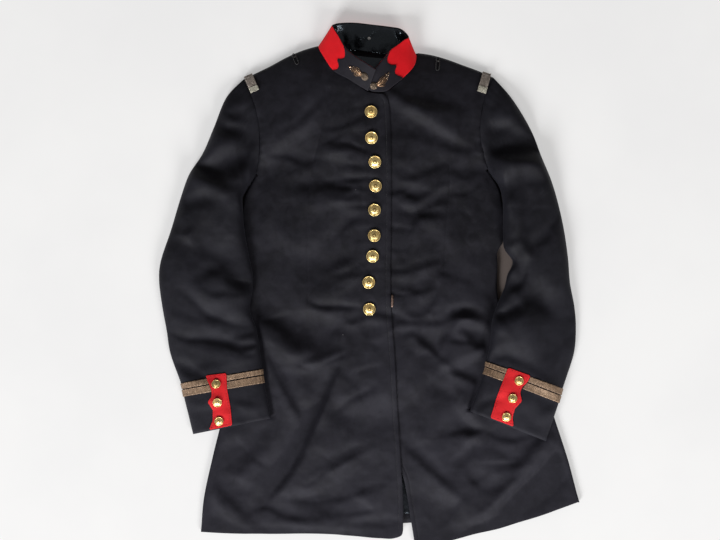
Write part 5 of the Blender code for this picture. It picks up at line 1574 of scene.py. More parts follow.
def side_strip(side, sides, top):
    """Rows of points round the side fold and on to the side seam underneath, each from a point of the top."""
    turns = np.linspace(ROLL_START, math.pi, FOLD_TURNS)[1:]
    rows = []
    for px, py in sides:
        radius = float(roll_at(py))
        fold = abs(px) - radius * math.sin(ROLL_START)
        row = [tuple(top[np.hypot(*(top[:, :2] - (px, py)).T).argmin()])]
        row += [(SIGN[side] * (fold + radius * math.sin(a)), py, radius * (1 + math.cos(a))) for a in turns]
        reaches = np.linspace(0.0, SEAM_INSET - radius, FOLD_REACHES)[1:]
        rows.append(row + [(SIGN[side] * (fold - reach), py, 0.0) for reach in reaches])
    return np.array(rows)


def make_front_cloth(side):
    """One front with its skirt, from the front edge round the side fold to the side seam."""
    sides, flat, faces = front_points(side)
    top = np.column_stack([flat, front_relief(side, flat[:, 0], flat[:, 1])])
    keep_skin(f"front_{side}", top, faces)
    strip = side_strip(side, sides, top)
    points = np.concatenate([top, strip.reshape(-1, 3)])
    strip_faces = grid(*strip.shape[:2], flip=side == "left") + len(top)
    solid = shell(points, np.concatenate([faces, strip_faces]))
    piece_of(f"cloth_front_{side}", *solid, WOOL, "cloth", f"front_{side}")


def back_side(side):
    """Plan points of the back from the armpit's corner down the side seam to the hem."""
    sign, pit = SIGN[side], ARMHOLES[side]["pit"]
    y = np.linspace(pit[1] - BACK_SIDE_DROP, HEM[side][-1][1], 90)
    x = sign * (side_at(np.full(y.shape, float(sign)), y) - SEAM_INSET - GAP)
    seam = np.stack([x, y], axis=1)
    seam[-1] += (seam[-2] - seam[-1]) * 0.25
    start = pit[1] - BACK_PIT_DROP
    return np.concatenate([[(sign * (abs(pit[0]) - BACK_PIT_INSET), start), (seam[0][0], start)], seam])


def make_back_cloth():
    """The back: one flat panel between the side seams, with its centre and side-back seams pressed in."""
    left, right = back_side("left"), back_side("right")
    outline = [path([NECK_POINT["right"]] + NECK_BACK + [NECK_POINT["left"]], COARSE)[:-1]]
    outline += [shoulder_edge("left", COARSE), armhole_edge("left", BACK_ARMHOLE_GAP, COARSE), left]
    outline += [path([tuple(left[-1])] + HEM_BACK, COARSE)[1:], right[::-1]]
    outline += [armhole_edge("right", BACK_ARMHOLE_GAP, COARSE)[::-1]]
    outline += [shoulder_edge("right", COARSE)[::-1][:-1]]
    outline = np.concatenate(outline)
    seams = [path(line, 5.0) for line in BACK_SEAMS]
    rows = [offset_line(line, off) for line in seams for off in BACK_SEAM_ROWS]
    lines = sparse(kept_inside(outline, np.concatenate(rows), 2.0, 1.5), 1.0, least=1.2)
    flat, faces = filled(outline, [lines, sparse(net(outline, BACK_NET), BACK_NET, near=lines, least=0.5)])
    points, solid = shell(np.column_stack([flat, np.full(len(flat), WALL)]), faces, bulge=0.0)
    under = slice(len(flat), 2 * len(flat))
    for line in seams:
        away = line_distance(path(line, 1.0), points[under, 0], points[under, 1])
        points[under, 2] += BACK_SEAM_DEPTH * bell(away, BACK_SEAM_WIDTH)
    piece_of("cloth_back", points, solid, WOOL, "cloth", "back")


# ---------------------------------------------------------------- sleeves

SLEEVE_RINGS, SLEEVE_SPOKES, UNDER_SPOKES = 183, 53, 9
LOWER_RINGS, LOWER_SPOKES = 92, 21


def make_sleeve_cloth(side):
    """Top sleeve, round under both folded edges, and the under sleeve between its seams."""
    last = len(SLEEVES[side].crown) - 1.0
    under = np.linspace(0.0, 1.0, UNDER_SPOKES)[1:]
    across = np.concatenate([-under[::-1], np.linspace(0.0, 1.0, SLEEVE_SPOKES), 1 + under])
    top = sleeve_face(side, across[None, :], np.linspace(0.0, last, SLEEVE_RINGS)[:, None])
    faces = grid(SLEEVE_RINGS, len(across), flip=side == "left")
    keep_skin(f"sleeve_{side}", top, faces)
    piece_of(f"cloth_sleeve_{side}_top", *shell(top, faces), WOOL_SLEEVE, "cloth", f"sleeve_{side}_top")
    rows = np.linspace(0.0, last, LOWER_RINGS)
    lower = sleeve_under_point(side, np.linspace(0.0, 1.0, LOWER_SPOKES)[None, :], rows[:, None])
    solid = shell(lower, grid(LOWER_RINGS, LOWER_SPOKES, flip=side == "right"), bulge=0.2)
    piece_of(f"cloth_sleeve_{side}_under", *solid, WOOL_SLEEVE, "cloth", f"sleeve_{side}_under")


# ---------------------------------------------------------------- collar

COLLAR_SPACING, COLLAR_ROWS = 0.05, 22  # stations between columns, and rows up the band
LINING_SPACING, LINING_ROWS = 0.03, 26
LINING_CLEAR, LINING_WAVE = 0.65, 0.9  # of the collar's lining: how far off the band, how uneven
TAB_CLEAR, TAB_WAVE = 0.35, 0.25
TAB_NET = 1.8

# The brace-shaped rear edge of each collar tab: share of the band's height, distance back from the front edge
TAB_REARS = {
    "right": plan(
        """
        0.99,69 0.93,64.3 0.82,60.6 0.72,59.1 0.655,59.4 0.6,61.6 0.52,65.8 0.46,69.9 0.425,70.2
        0.385,68.2 0.333,64.8 0.26,62.9 0.19,62.6 0.12,64.2 0.05,67.2 0.01,70.5
        """
    ),
    "left": plan(
        """
        0.99,56.5 0.95,51.5 0.9,46.8 0.83,45.2 0.75,46.6 0.66,49.8 0.6,53.2 0.53,59 0.485,62.3
        0.455,62.2 0.41,58.8 0.363,56.6 0.29,57.1 0.2,61 0.12,65.5 0.05,69.5 0.01,72
        """
    ),
}


def collar_sheet(first, last, low, high, spacing, rows):
    """Points, faces, stations and height shares of a stretch of the collar."""
    stations = np.linspace(first, last, round((last - first) / spacing) + 1)
    ups = np.linspace(low, high, rows + 1)
    faces = grid(len(ups), len(stations), flip=True)
    return collar_point(stations[None, :], ups[:, None]), faces, stations, ups


def make_collar_cloth():
    """The standing band, red outside and dark inside, and its glossy lining at the back of the neck."""
    points, faces, _, _ = collar_sheet(0.0, LAST_STATION, 0.0, 1.0, COLLAR_SPACING, COLLAR_ROWS)
    solid = shell(points, faces, COLLAR_WALL / 2, -COLLAR_WALL / 2, bulge=0.6)
    collar = piece_of("cloth_collar", *solid, RED, "red_cloth", "collar")
    dress(collar, WOOL_TAB, np.arange(len(solid[1])) >= len(faces))
    points, faces, stations, ups = collar_sheet(*LINING_SPAN, 0.04, 0.97, LINING_SPACING, LINING_ROWS)
    station, up = np.meshgrid(stations, ups)
    lift = noise_at(station, up, 2.0, 1 / 1.7, 1 / 2.2) + 0.4 * noise_at(station, up, 2.0, 1 / 4.4, 1 / 5.0)
    near = -COLLAR_WALL / 2 - LINING_CLEAR
    solid = shell(raised(points, faces, LINING_WAVE * lift), faces, near, near - TRIM * 0.8, bulge=0.2)
    piece_of("satin_collar", *solid, SHADED_LINING, "lining", "collar_lining")


class Band:
    """The outer face of one end of the collar, by distance back from its front edge and height on it."""

    def __init__(self, side):
        stations = np.linspace(0.0, 5.0, 260)
        self.stations = stations if side == "right" else LAST_STATION - stations
        self.ups = np.linspace(0.0, 1.0, 15)
        points = collar_point(self.stations[None, :], self.ups[:, None])
        steps = np.linalg.norm(np.diff(points, axis=1), axis=2)
        self.along = np.concatenate([np.zeros((len(self.ups), 1)), np.cumsum(steps, axis=1)], axis=1)

    def station(self, back, up):
        """Stations of points, by height share and distance back."""
        back, up = np.broadcast_arrays(np.asarray(back, float), np.asarray(up, float))
        found = np.zeros(back.shape)
        k = np.clip((up * (len(self.ups) - 1)).astype(int), 0, len(self.ups) - 2)
        for i in range(len(self.ups) - 1):
            pick = k == i
            if pick.any():
                share = (up[pick] - self.ups[i]) / (self.ups[i + 1] - self.ups[i])
                low = np.interp(back[pick], self.along[i], self.stations)
                high = np.interp(back[pick], self.along[i + 1], self.stations)
                found[pick] = low * (1 - share) + high * share
        return found

    def place(self, back, rise, off=0.0):
        """3-D points at a distance back, a height and a distance out from the band's middle."""
        up = np.asarray(rise, float) / BAND_HEIGHT
        station = self.station(back, up)
        small = 0.02
        along = collar_point(station + small, up) - collar_point(station - small, up)
        over = collar_point(station, up + small) - collar_point(station, up - small)
        normal = np.cross(over, along)
        normal /= np.linalg.norm(normal, axis=-1)[..., None]
        return collar_point(station, up) + normal * np.asarray(off, float)[..., None]


BANDS = {side: Band(side) for side in SIDES}


def make_tab_cloth(side):
    """The dark tab on a collar end."""
    up, back = np.array(TAB_REARS[side]).T
    rear = path(np.column_stack([back, up * BAND_HEIGHT])[::-1], 1.2)
    (first, low), (last, high) = rear[0], rear[-1]
    top = [(x, high) for x in np.linspace(last, 0.0, 40)[1:-1]]
    front = [(0.0, y) for y in np.linspace(high, low, 26)]
    bottom = [(x, low) for x in np.linspace(0.0, first, 40)[1:-1]]
    outline = np.concatenate([rear, top, front, bottom])
    flat, faces = filled(outline, [net(outline, TAB_NET)])
    if side == "right":
        faces = faces[:, ::-1]
    lift = TAB_WAVE * noise_at(flat[:, 0], flat[:, 1], 5.0, 11.0, 9.0)
    near = COLLAR_WALL / 2 + TAB_CLEAR
    solid = shell(BANDS[side].place(flat[:, 0], flat[:, 1], lift), faces, near + TRIM, near, bulge=0.35)
    piece_of(f"cloth_tab_{side}", *solid, WOOL_TAB, "cloth", f"collar_tab_{side}")


# ---------------------------------------------------------------- badges

BALL_RISE = 1.9  # of the ball's middle
BALL_STRANDS = np.arange(-4.8, 4.9, 1.6)  # the netting of the ball, by distance from its middle
TONGUE_SIZE = 0.74  # of the tongues' listed thickness

# Tongues of flame: sideways at the root, at the widest and at the tip, where the tip lies, thickness
TONGUES = Table(
    "root wide tip length thick",
    """
    0.0   0.0   0.4  33.5  0.95
    0.8   2.4   1.9  31.0  0.85
   -0.8  -2.4  -2.2  30.0  0.85
    1.5   4.6   4.4  26.5  0.8
   -1.5  -4.7  -4.8  25.0  0.8
    1.1   6.3   7.2  20.5  0.75
   -1.1  -6.2  -7.4  20.0  0.75
    0.5   3.4   6.0  15.5  0.7
   -0.5  -3.4  -6.2  14.5  0.7
    0.2   1.3   1.0  24.0  0.75
   -0.2  -1.2  -1.4  23.0  0.75
    """,
)

SPANGLE_COUNT, SPANGLE_RADIUS = 26, 0.62
SPANGLE_SHAPE = plan("0,0 1,0 1,0.25 0.45,0.45 0,0.4")  # radius and height, from the foot to the top
SPANGLE_SEEDS = {"right": 12, "left": 11}
# Where the spangles lie on the flames: the nearest, over what length and width, and the widest place
SPANGLE_NEAR, SPANGLE_SPAN, SPANGLE_SPREAD, SPANGLE_MIDDLE = 8.0, 23.0, 11.0, 17.0
SPANGLE_TILT = 1.5


def badge_place(side, points):
    """3-D points of a badge, from distances along it, beside it and off the tab."""
    back, rise, turn = BADGES[side]
    cos, sin = math.cos(math.radians(turn)), math.sin(math.radians(turn))
    along, beside, off = np.asarray(points, float).T
    base = COLLAR_WALL / 2 + TAB_CLEAR + TRIM
    return BANDS[side].place(back + along * cos - beside * sin, rise + along * sin + beside * cos, base + off)


def ball_strands():
    """The crossed threads of the ball and the cord round it: path and the tube's measures."""
    for way in (1, -1):
        for offset in BALL_STRANDS:
            half = math.sqrt(max(0.0, (BADGE_BALL - 0.3) ** 2 - offset**2))
            if half > 1.0:
                t = np.linspace(-half, half, 11)
                a, b = (t + offset) / math.sqrt(2), (t - offset) * way / math.sqrt(2)
                dome = BALL_RISE * np.sqrt(np.maximum(0.0, 1 - (np.hypot(a, b) / (BADGE_BALL + 0.4)) ** 2))
                yield np.column_stack([a, b, 0.5 + dome + (0.25 if way > 0 else 0.0)]), {"radius": 0.52}
    rim = np.linspace(0, 2 * math.pi, 33)
    ring = np.column_stack([BADGE_BALL * np.cos(rim), BADGE_BALL * np.sin(rim), np.full(33, 0.7)])
    yield ring, {"radius": 0.65, "sides": 7, "caps": False}


def flame_strands():
    """The wavy tongues of the flame: path and the tube's measures."""
    t = np.linspace(0.0, 1.0, 24)
    taper = np.clip(1.15 - 0.75 * t, 0.2, 1.0) * np.clip(0.6 + 3 * t, 0, 1)
    for k, (root, wide, tip, length, thick) in enumerate(TONGUES.rows):
        along = BADGE_BALL - 0.5 + (length - BADGE_BALL) * t
        beside = smooth([0.0, 0.5, 1.0], [root, wide, tip], t) + 0.55 * np.sin(t * 9.0 + k * 1.7) * t
        off = 0.9 + 1.3 * np.sin(math.pi * np.clip(t * 1.15, 0, 1)) ** 0.7 * (1 - abs(wide) / 11.0)
        measures = {"radius": thick * TONGUE_SIZE, "sides": 7, "taper": taper}
        yield np.column_stack([along, beside, off]), measures


def make_badge_thread(side):
    """The flaming ball on a tab, embroidered in bullion: a netted ball and a bundle of wavy flames."""
    ball, flames = [
        joined([tube(badge_place(side, line), **measures) for line, measures in strands])
        for strands in (ball_strands(), flame_strands())
    ]
    points, faces = joined([ball, flames])
    badge = piece_of(f"bullion_{side}", points, faces, BULLION, "bullion", f"collar_badge_{side}")
    dress(badge, BULLION_BALL, np.arange(len(faces)) < len(ball[1]))


def make_spangles(side):
    """Small bright discs strewn over the flames of a badge, each tilted its own way."""
    rng = np.random.default_rng(SPANGLE_SEEDS[side])
    disc, disc_faces = turned(SPANGLE_SHAPE, SPANGLE_RADIUS, 8)
    spangles = []
    for _ in range(SPANGLE_COUNT):
        along = SPANGLE_NEAR + SPANGLE_SPAN * rng.random()
        spread = 1 - abs(along - SPANGLE_MIDDLE) / SPANGLE_MIDDLE
        beside = (rng.random() - 0.5) * SPANGLE_SPREAD * spread
        corners = [(along, beside, 2.5), (along + 1, beside, 2.5), (along, beside, 3.5)]
        centre, ahead, up = badge_place(side, corners)
        ahead, up = ahead - centre, up - centre
        axis = up + SPANGLE_TILT * ahead * (rng.random() - 0.5)
        axis = axis + SPANGLE_TILT * np.cross(up, ahead) * (rng.random() - 0.5)
        spangles.append((stood(disc, centre, axis), disc_faces))
    piece_of(f"spangles_{side}", *joined(spangles), BULLION_BRIGHT, "bullion")


# ---------------------------------------------------------------- trims and fittings

LACE_LIFT, LACE_THICK = 0.35, 0.8
LACE_SAMPLES, LACE_ROWS = 121, 15
LACE_LENGTH = 70.0  # of a stripe beside the patch, about
GALON_TRIM = 0.055  # rows left bare on each side of the line between the two stripes
GALON_END_GAP = 0.003  # between a stripe and the patch, in across values
PATCH_CORNER, PATCH_STEP, PATCH_NET = 3.2, 1.2, 1.9
PATCH_STITCH_INSET = 2.6
PATCH_STITCH = {"pitch": 2.6, "radius": 0.22}
FRONT_STITCH = {"pitch": 3.4, "radius": 0.2}
FRONT_STITCHES_BELOW = {"right": 312.0, "left": -335.0}  # height in the plan up to which they show
STITCH_SHARE = 0.72  # of the pitch that a stitch covers
STITCH_ARCH = np.array([-0.8, 0.5, 0.8, 0.5, -0.8])  # height along a stitch, in radii


def patch_reach(side, rows):
    """Across values at which rows of a sleeve meet the cuff patch, on its inner and its outer side."""
    places = np.array([sleeve_place(side, x, y) for x, y in divided(CUFF_PATCHES[side], 0.6)])
    reach = []
    for row in rows:
        near = places[np.abs(places[:, 1] - row) < 0.03, 0]
        reach.append((near.min(), near.max()) if len(near) else reach[-1])
    return np.array(reach).T


def lace_relief(length, width, stripe):
    """Height of a galon's ribs, waves and edge cords."""
    rib = 0.13 * np.sin(2 * math.pi * (length + 1.6 * width) / 2.1) * (width < 0.8)
    uneven = 0.30 * np.sin(2 * math.pi * (length + 0.8 * np.sin(length / 4.0)) / 6.4 + stripe)
    return rib + uneven + 0.28 * bell(width, 0.10, 0.9) + 0.036 * np.sin(length / 5.3 + stripe)


def make_galon_lace(side):
    """Two stripes of ribbed lace on either side of the cuff patch, from the patch round each folded edge."""
    share = np.linspace(0.0, 1.0, LACE_SAMPLES)[None, :]
    width = np.abs(np.linspace(-1.0, 1.0, LACE_ROWS))[:, None]
    for stripe, (first, last) in enumerate(GALONS, 1):
        trims = (0.0, GALON_TRIM) if stripe == 1 else (GALON_TRIM, 0.0)
        rows = np.linspace(first + trims[0], last - trims[1], LACE_ROWS)
        inner, outer = patch_reach(side, rows)
        for part, start, end in (
            ("inner", -GALON_WRAP, inner - GALON_END_GAP),
            ("outer", 1 + GALON_WRAP, outer + GALON_END_GAP),
        ):
            across = start + (end - start)[:, None] * share
            points = sleeve_face(side, across, rows[:, None])
            faces = grid(*across.shape, flip=(side == "left") == (part == "inner"))
            points = raised(points, faces, lace_relief(share * LACE_LENGTH, width, stripe))
            solid = shell(points, faces, LACE_LIFT + LACE_THICK, LACE_LIFT, bulge=0.2)
            name = f"{side}_{part}_{stripe}"
            piece_of(f"lace_{name}", *solid, GALON, "galon", f"galon_{name}")


def softened(outline, radius, step):
    """A closed outline with its corners rounded a little, divided finely."""
    outline = np.array(outline, float)
    points = []
    for before, corner, after in zip(np.roll(outline, 1, axis=0), outline, np.roll(outline, -1, axis=0)):
        one, two = before - corner, after - corner
        reach = min(radius, np.hypot(*one) / 2.1, np.hypot(*two) / 2.1)
        a, b = corner + one / np.hypot(*one) * reach, corner + two / np.hypot(*two) * reach
        points += [(1 - t) ** 2 * a + 2 * t * (1 - t) * corner + t * t * b for t in np.linspace(0, 1, 5)]
    return divided(points, step)


def make_patch_cloth(side):
    """The red slash patch on a sleeve, with a pressed edge and a row of stitches round it."""
    outline = softened(CUFF_PATCHES[side], PATCH_CORNER, PATCH_STEP)
    flat, faces = filled(outline, [net(outline, PATCH_NET)])
    x, y = flat.T
    away = line_distance(divided(outline, 0.5), x, y)
    puff = 0.25 * (1 - np.exp(-away / 2.0)) - 0.35 * bell(away, 0.8, PATCH_STITCH_INSET)
    puff += 0.35 * noise_at(x, y, 4.0, 16.0) * ease(away / 3.0)
    points = np.column_stack([flat, skin_heights(f"sleeve_{side}", flat) + puff])
    solid = shell(points, faces, LACE_LIFT + TRIM, LACE_LIFT, bulge=0.4)
    keep_skin(f"patch_{side}", points + (0, 0, LACE_LIFT + TRIM), faces)
    piece_of(f"cloth_patch_{side}", *solid, RED_CUFF, "red_cloth", f"cuff_patch_{side}")
    closed = np.concatenate([outline, outline[:1]])
    rows = [offset_line(closed, way * PATCH_STITCH_INSET) for way in (1, -1)]
    inner = next(row for row in rows if inside(outline, row[:1, 0], row[:1, 1])[0])
    make_stitches(f"stitches_patch_{side}", f"patch_{side}", inner, RED_STITCH, "red_cloth", **PATCH_STITCH)


def make_stitches(name, skin, line, material, slot, pitch, radius):
    """A row of small stitches along a plan line on a laid cloth."""
    along = np.concatenate([[0.0], np.cumsum(np.hypot(*np.diff(line, axis=0).T))])
    parts = []
    for start in np.arange(0.3, along[-1] - pitch, pitch):
        at = np.linspace(start, start + pitch * STITCH_SHARE, len(STITCH_ARCH))
        places = np.column_stack([np.interp(at, along, line[:, 0]), np.interp(at, along, line[:, 1])])
        height = skin_heights(skin, places) + 0.05 + radius * STITCH_ARCH
        parts.append(tube(np.column_stack([places, height]), radius, 5))
    piece_of(name, *joined(parts), material, slot)


def make_front_stitches(side):
    """The topstitching along a front's edge, down the whole right front and only where the left one shows."""
    line = path(EDGE[side], 2.0)
    line = line[line[:, 1] < FRONT_STITCHES_BELOW[side]]
    row = offset_line(line, SIGN[side] * STITCH_INSET)
    make_stitches(f"stitches_front_{side}", f"front_{side}", row, STITCH, "cloth", **FRONT_STITCH)

# Half the section of a button, in radii: its foot, rim bead, sunk ring, raised ring and dome
BUTTON_SHAPE = plan(
    """
    0,0 0.22,0 0.22,0.12 0.8,0.14 0.95,0.18 1,0.23 0.99,0.28 0.955,0.315 0.91,0.32 0.875,0.305
    0.85,0.275 0.825,0.272 0.8,0.29 0.77,0.325 0.735,0.345 0.7,0.345 0.67,0.335 0.64,0.34 0.56,0.385
    0.47,0.43 0.36,0.475 0.24,0.51 0.12,0.53 0,0.535
    """
)
BUTTON_FIT = 0.965  # the gilt shell within the CAD button
BUTTON_SHADED_RINGS = ((0.77, 0.86), (0.62, 0.67), (0.19, 0.28))  # sunk rings given painted shade, in radii
BUTTON_LIFT = 0.2
BUTTON_SEED = 5

# How a button is made: divisions round it, radius at which it rests, chance tilt and depth of its fluting
FRONT_LOOK = {"diameter": FRONT_BUTTON, "sides": 72, "reach": 8.0, "tilt": 0.10, "carved": 0.8}
CUFF_LOOK = {"diameter": CUFF_BUTTON, "sides": 60, "reach": 6.0, "tilt": 0.12, "carved": 0.35}


def button_form(radius, sides, spin, carved):
    """A domed gilt button, fluted round a small boss, and which of its faces get painted shade: its sunk
    rings and its underside.
    """
    points, faces = turned(BUTTON_SHAPE, radius, sides)
    out = np.hypot(points[:, 0], points[:, 1]) / radius
    angle = np.arctan2(points[:, 1], points[:, 0]) + spin
    flute = 0.018 * np.cos(12 * angle) * bell(out, 0.14, 0.45)
    boss = 0.055 * bell(out, 0.13) - 0.02 * bell(out, 0.05, 0.24)
    dome = (points[:, 2] > 0.3 * radius) & (out < 0.68)
    points[:, 2] += np.where(dome, (flute * carved + boss) * radius, 0.0)
    middle = out[faces].mean(axis=1)
    low = points[faces][:, :, 2].mean(axis=1) <= 0.2 * radius
    dull = [(middle > first) & (middle < last) for first, last in BUTTON_SHADED_RINGS]
    return points, faces, low | np.any(dull, axis=0)


def seat_on(skin, x, y, reach):
    """Foot and upward axis of a round thing that rests on a laid cloth."""
    ring = [(x + reach * math.cos(a), y + reach * math.sin(a)) for a in np.radians(np.arange(0, 360, 30))]
    heights = skin_heights(skin, ring)
    pull = (heights[:, None] * (np.array(ring) - (x, y))).sum(axis=0) / (len(ring) / 2 * reach**2)
    axis = Vector((-pull[0], -pull[1], 1.0)).normalized()
    return np.array((x, y, max(skin_z(skin, x, y), heights.mean()))), np.array(axis)


def make_button_metal(rng, name, skin, place, diameter, sides, reach, tilt, carved):
    """One gilt button on a laid cloth, tilted and turned a little by chance."""
    foot, axis = seat_on(skin, *place, reach)
    axis = axis + np.array([*(rng.random(2) - 0.5) * tilt, 0.0])
    points, faces, dull = button_form(diameter / 2 * BUTTON_FIT, sides, rng.random() * 6, carved)
    points = stood(points, foot + axis * BUTTON_LIFT, axis)
    # the sunk rings and the underside get the painted shade
    dress(piece_of(f"gilt_{name}", points, faces, GILT, "gilt", name), GILT_PAINTED_SHADE, dull)


def make_buttons():
    """The nine buttons of the front and the three of each cuff."""
    rng = np.random.default_rng(BUTTON_SEED)
    for number, place in enumerate(FRONT_BUTTONS, 1):
        name = f"front_button_{number}"
        make_button_metal(rng, name, "front_right", place, **FRONT_LOOK)
    for side, places in CUFF_BUTTONS.items():
        for number, place in enumerate(places, 1):
            name = f"cuff_button_{side}_{number}"
            make_button_metal(rng, name, f"patch_{side}", place, **CUFF_LOOK)


STRAP_SAMPLES, STRAP_SPACING = 61, 0.49  # rows along a strap, and their spacing
STRAP_ENDS = ((1.2, 0.4), (2.4, 1.2), (3.0, 2.6))  # the strap turns down over the shoulder: out, down
STRAP_LIFT = 0.5
STRAP_FOLD_LIFT = 1.5


def make_strap_lace(side):
    """The lace loop across the end of a shoulder, folded at its lower end and turned down over the edge."""
    start, end = (np.array(p) for p in STRAPS[side])
    along = (end - start) / np.linalg.norm(end - start)
    beside = np.array([along[1], -along[0]]) * STRAP_WIDTH / 2
    shares = np.linspace(-1.0, 1.0, 25)
    rows = []
    for share in np.linspace(0.0, 1.0, STRAP_SAMPLES):
        row = start + (end - start) * share + shares[:, None] * beside
        arch = STRAP_ARCH * math.sin(math.pi * share)
        rows.append(np.column_stack([row, skin_heights(f"front_{side}", row) + arch]))
    rows += [rows[-1] + (*along * out, -down) for out, down in STRAP_ENDS]
    faces = grid(len(rows), len(shares))
    length = np.arange(len(rows))[:, None] * STRAP_SPACING
    rib = 0.14 * np.sin(2 * math.pi * (length + 1.2 * np.abs(shares)) / 1.9)
    relief = rib + 0.3 * bell(np.abs(shares), 0.09, 0.9)
    points = raised(np.array(rows), faces, relief)
    solid = shell(points, faces, STRAP_LIFT + TRIM * 0.8, STRAP_LIFT, bulge=0.2)
    piece_of(f"lace_strap_{side}", *solid, STRAP_LACE, "galon", f"shoulder_strap_{side}")
    count = int(STRAP_FOLD / STRAP_SPACING) + 1
    fold = raised(np.array(rows), faces, relief + STRAP_FOLD_LIFT)[:count]
    solid = shell(fold, grid(count, len(shares)), TRIM * 0.8, 0.0, bulge=0.3)
    piece_of(f"lace_strap_fold_{side}", *solid, STRAP_FOLDED, "galon")


STRAND_OFF, STRAND_RADIUS = 0.42, 0.46  # distance of each of the two strands from the cord's middle, and size
STRAND_LAY = 6.0  # samples along the loop for one turn of the strands
LOOP_LIFT, LOOP_SAMPLE = 0.9, 0.7
EYELET_RADIUS, EYELET_CORD, EYELET_LIFT = 1.3, 0.32, 0.7


def make_loop_cord(side):
    """A small loop of twisted black cord on the shoulder beside the collar, with a bright metal end."""
    start, end = (np.array(p) for p in LOOPS[side])
    ring = divided(stadium(start, end, LOOP_WIDTH / 2, 12), LOOP_SAMPLE)
    ring = np.concatenate([ring, ring[:1]])
    middle = np.column_stack([ring, skin_heights(f"front_{side}", ring) + LOOP_LIFT])
    ahead = np.gradient(middle, axis=0)
    ahead /= np.linalg.norm(ahead, axis=1)[:, None]
    out, up = np.cross(ahead, (0, 0, 1.0)), np.array([0, 0, 1.0])
    turn = np.arange(len(ring)) * 2 * math.pi / STRAND_LAY
    parts = []
    for phase in (0.0, math.pi):
        off = out * np.cos(turn + phase)[:, None] + up * np.sin(turn + phase)[:, None]
        parts.append(tube(middle + off * STRAND_OFF, STRAND_RADIUS, 6, caps=False))
    piece_of(f"cord_loop_{side}", *joined(parts), CORD, "cord", f"shoulder_loop_{side}")
    along = (end - start) / np.linalg.norm(end - start)
    beside = np.array([-along[1], along[0]])
    tip = end * 0.25 + start * 0.75
    angles = np.radians(np.arange(0, 361, 20))[:, None]
    eye = tip + (along * np.cos(angles) + beside * np.sin(angles) * 0.8) * EYELET_RADIUS
    eye = np.column_stack([eye, skin_heights(f"front_{side}", eye) + EYELET_LIFT])
    piece_of(f"eyelet_{side}", *tube(eye, EYELET_CORD, 8, caps=False), STEEL, "bronze")


HOOK_SHARE = 0.36  # of its CAD width, for the half width of the plate
HOOK_RISE, HOOK_SLOPE, HOOK_LIFT = 0.35, 1.1, 0.4  # of its middle, over what distance, and of the whole


def make_hook_metal():
    """The bronze waist hook: a narrow plate with rounded ends and a raised middle, at the front edge."""
    half = HOOK["width"] * HOOK_SHARE
    ends = [(HOOK["x"], HOOK["y"] + way * (HOOK["length"] / 2 - half)) for way in (-1, 1)]
    outline = divided(stadium(*ends, half, 15), 0.5)
    flat, faces = filled(outline, [net(outline, 0.6)])
    rise = HOOK_RISE * ease(line_distance(outline, *flat.T) / HOOK_SLOPE)
    points = np.column_stack([flat, skin_heights("front_left", flat) + rise])
    solid = shell(points, faces, HOOK_LIFT + HOOK["thick"], HOOK_LIFT, bulge=0.25)
    piece_of("bronze_waist_hook", *solid, BRONZE, "bronze", "waist_hook")


# Half the section of the stud, in radii: a low foot and a dome
STUD_SHAPE = plan(
    """
    0,0 0.45,0 0.45,0.15 0.85,0.18 0.98,0.26 1,0.36 0.94,0.52
    0.8,0.68 0.6,0.82 0.42,0.9 0.3,0.94 0.15,0.96 0,0.97
    """
)
STUD_FIT, STUD_LIFT = 0.47, 0.2  # its radius within the CAD stud's diameter


def make_stud_form():
    """The white stud on the lining at the back of the collar."""
    middle = Vector(collar_point(STUD_STATION, STUD_UP))
    along = Vector(collar_point(STUD_STATION + 0.1, STUD_UP)) - middle
    up = Vector(collar_point(STUD_STATION, STUD_UP + 0.1)) - middle
    axis = along.cross(up).normalized()
    axis = axis if axis.z > 0 else -axis
    foot = middle + axis * (COLLAR_WALL / 2 + TAB_GAP + TRIM + STUD_LIFT)
    points, faces = turned(STUD_SHAPE, STUD_DIAMETER * STUD_FIT, 40)
    piece_of("white_collar_stud", stood(points, foot, axis), faces, WHITE, "white", "collar_stud")


# The lining on the back's inner face: where it shows, how uneven, and its satin, which at the neck is the
# darker copy with painted shade
LININGS = {
    "back_lining": (plan("34,-386 98,-383 98,-300 34,-300"), 0.8, LINING),
    "neck_lining": (plan("-62,398.5 -28,394 0,390.5 33,387.5 62,386 58,340 -58,340"), 0.5, SHADED_LINING),
}
LINING_LIFT, LINING_NET = 0.9, 2.4
LINING_LEAST, LINING_MOST = -0.5, 1.5  # limits of its unevenness
SLIT_MIDDLE, SLIT_WIDTH, SLIT_CRUMPLE = 66.0, 8.0, 1.2  # where the skirt's slit shows it, crumpled
RIDGE_Y, RIDGE_HEIGHT, RIDGE_WIDTH = -382.6, 2.2, 2.4  # the lining's hem, puffed up in the slit


def make_lining_satin():
    """The glossy lining on the back's inner face, where the slit of the skirt and the neck show it."""
    for name, (outline, waves, material) in LININGS.items():
        outline = divided(outline, 2.0)
        flat, faces = filled(outline, [net(outline, LINING_NET)])
        x, y = flat.T
        shown = bell(x, SLIT_WIDTH, SLIT_MIDDLE)
        lift = waves * (noise_at(x, y, 1.0, 26.0, 9.0) + 0.35 * noise_at(x, y, 2.0, 9.0, 5.0))
        lift += SLIT_CRUMPLE * shown * noise_at(x, y, 7.0, 5.0, 4.0)
        lift = np.clip(lift, LINING_LEAST, LINING_MOST) + RIDGE_HEIGHT * shown * bell(y, RIDGE_WIDTH, RIDGE_Y)
        points = np.column_stack([flat, WALL + LINING_LIFT + lift])
        piece_of(f"satin_{name}", *shell(points, faces, 0.5, -0.4, bulge=0.2), material, "lining", name)


# ---------------------------------------------------------------- putting it together

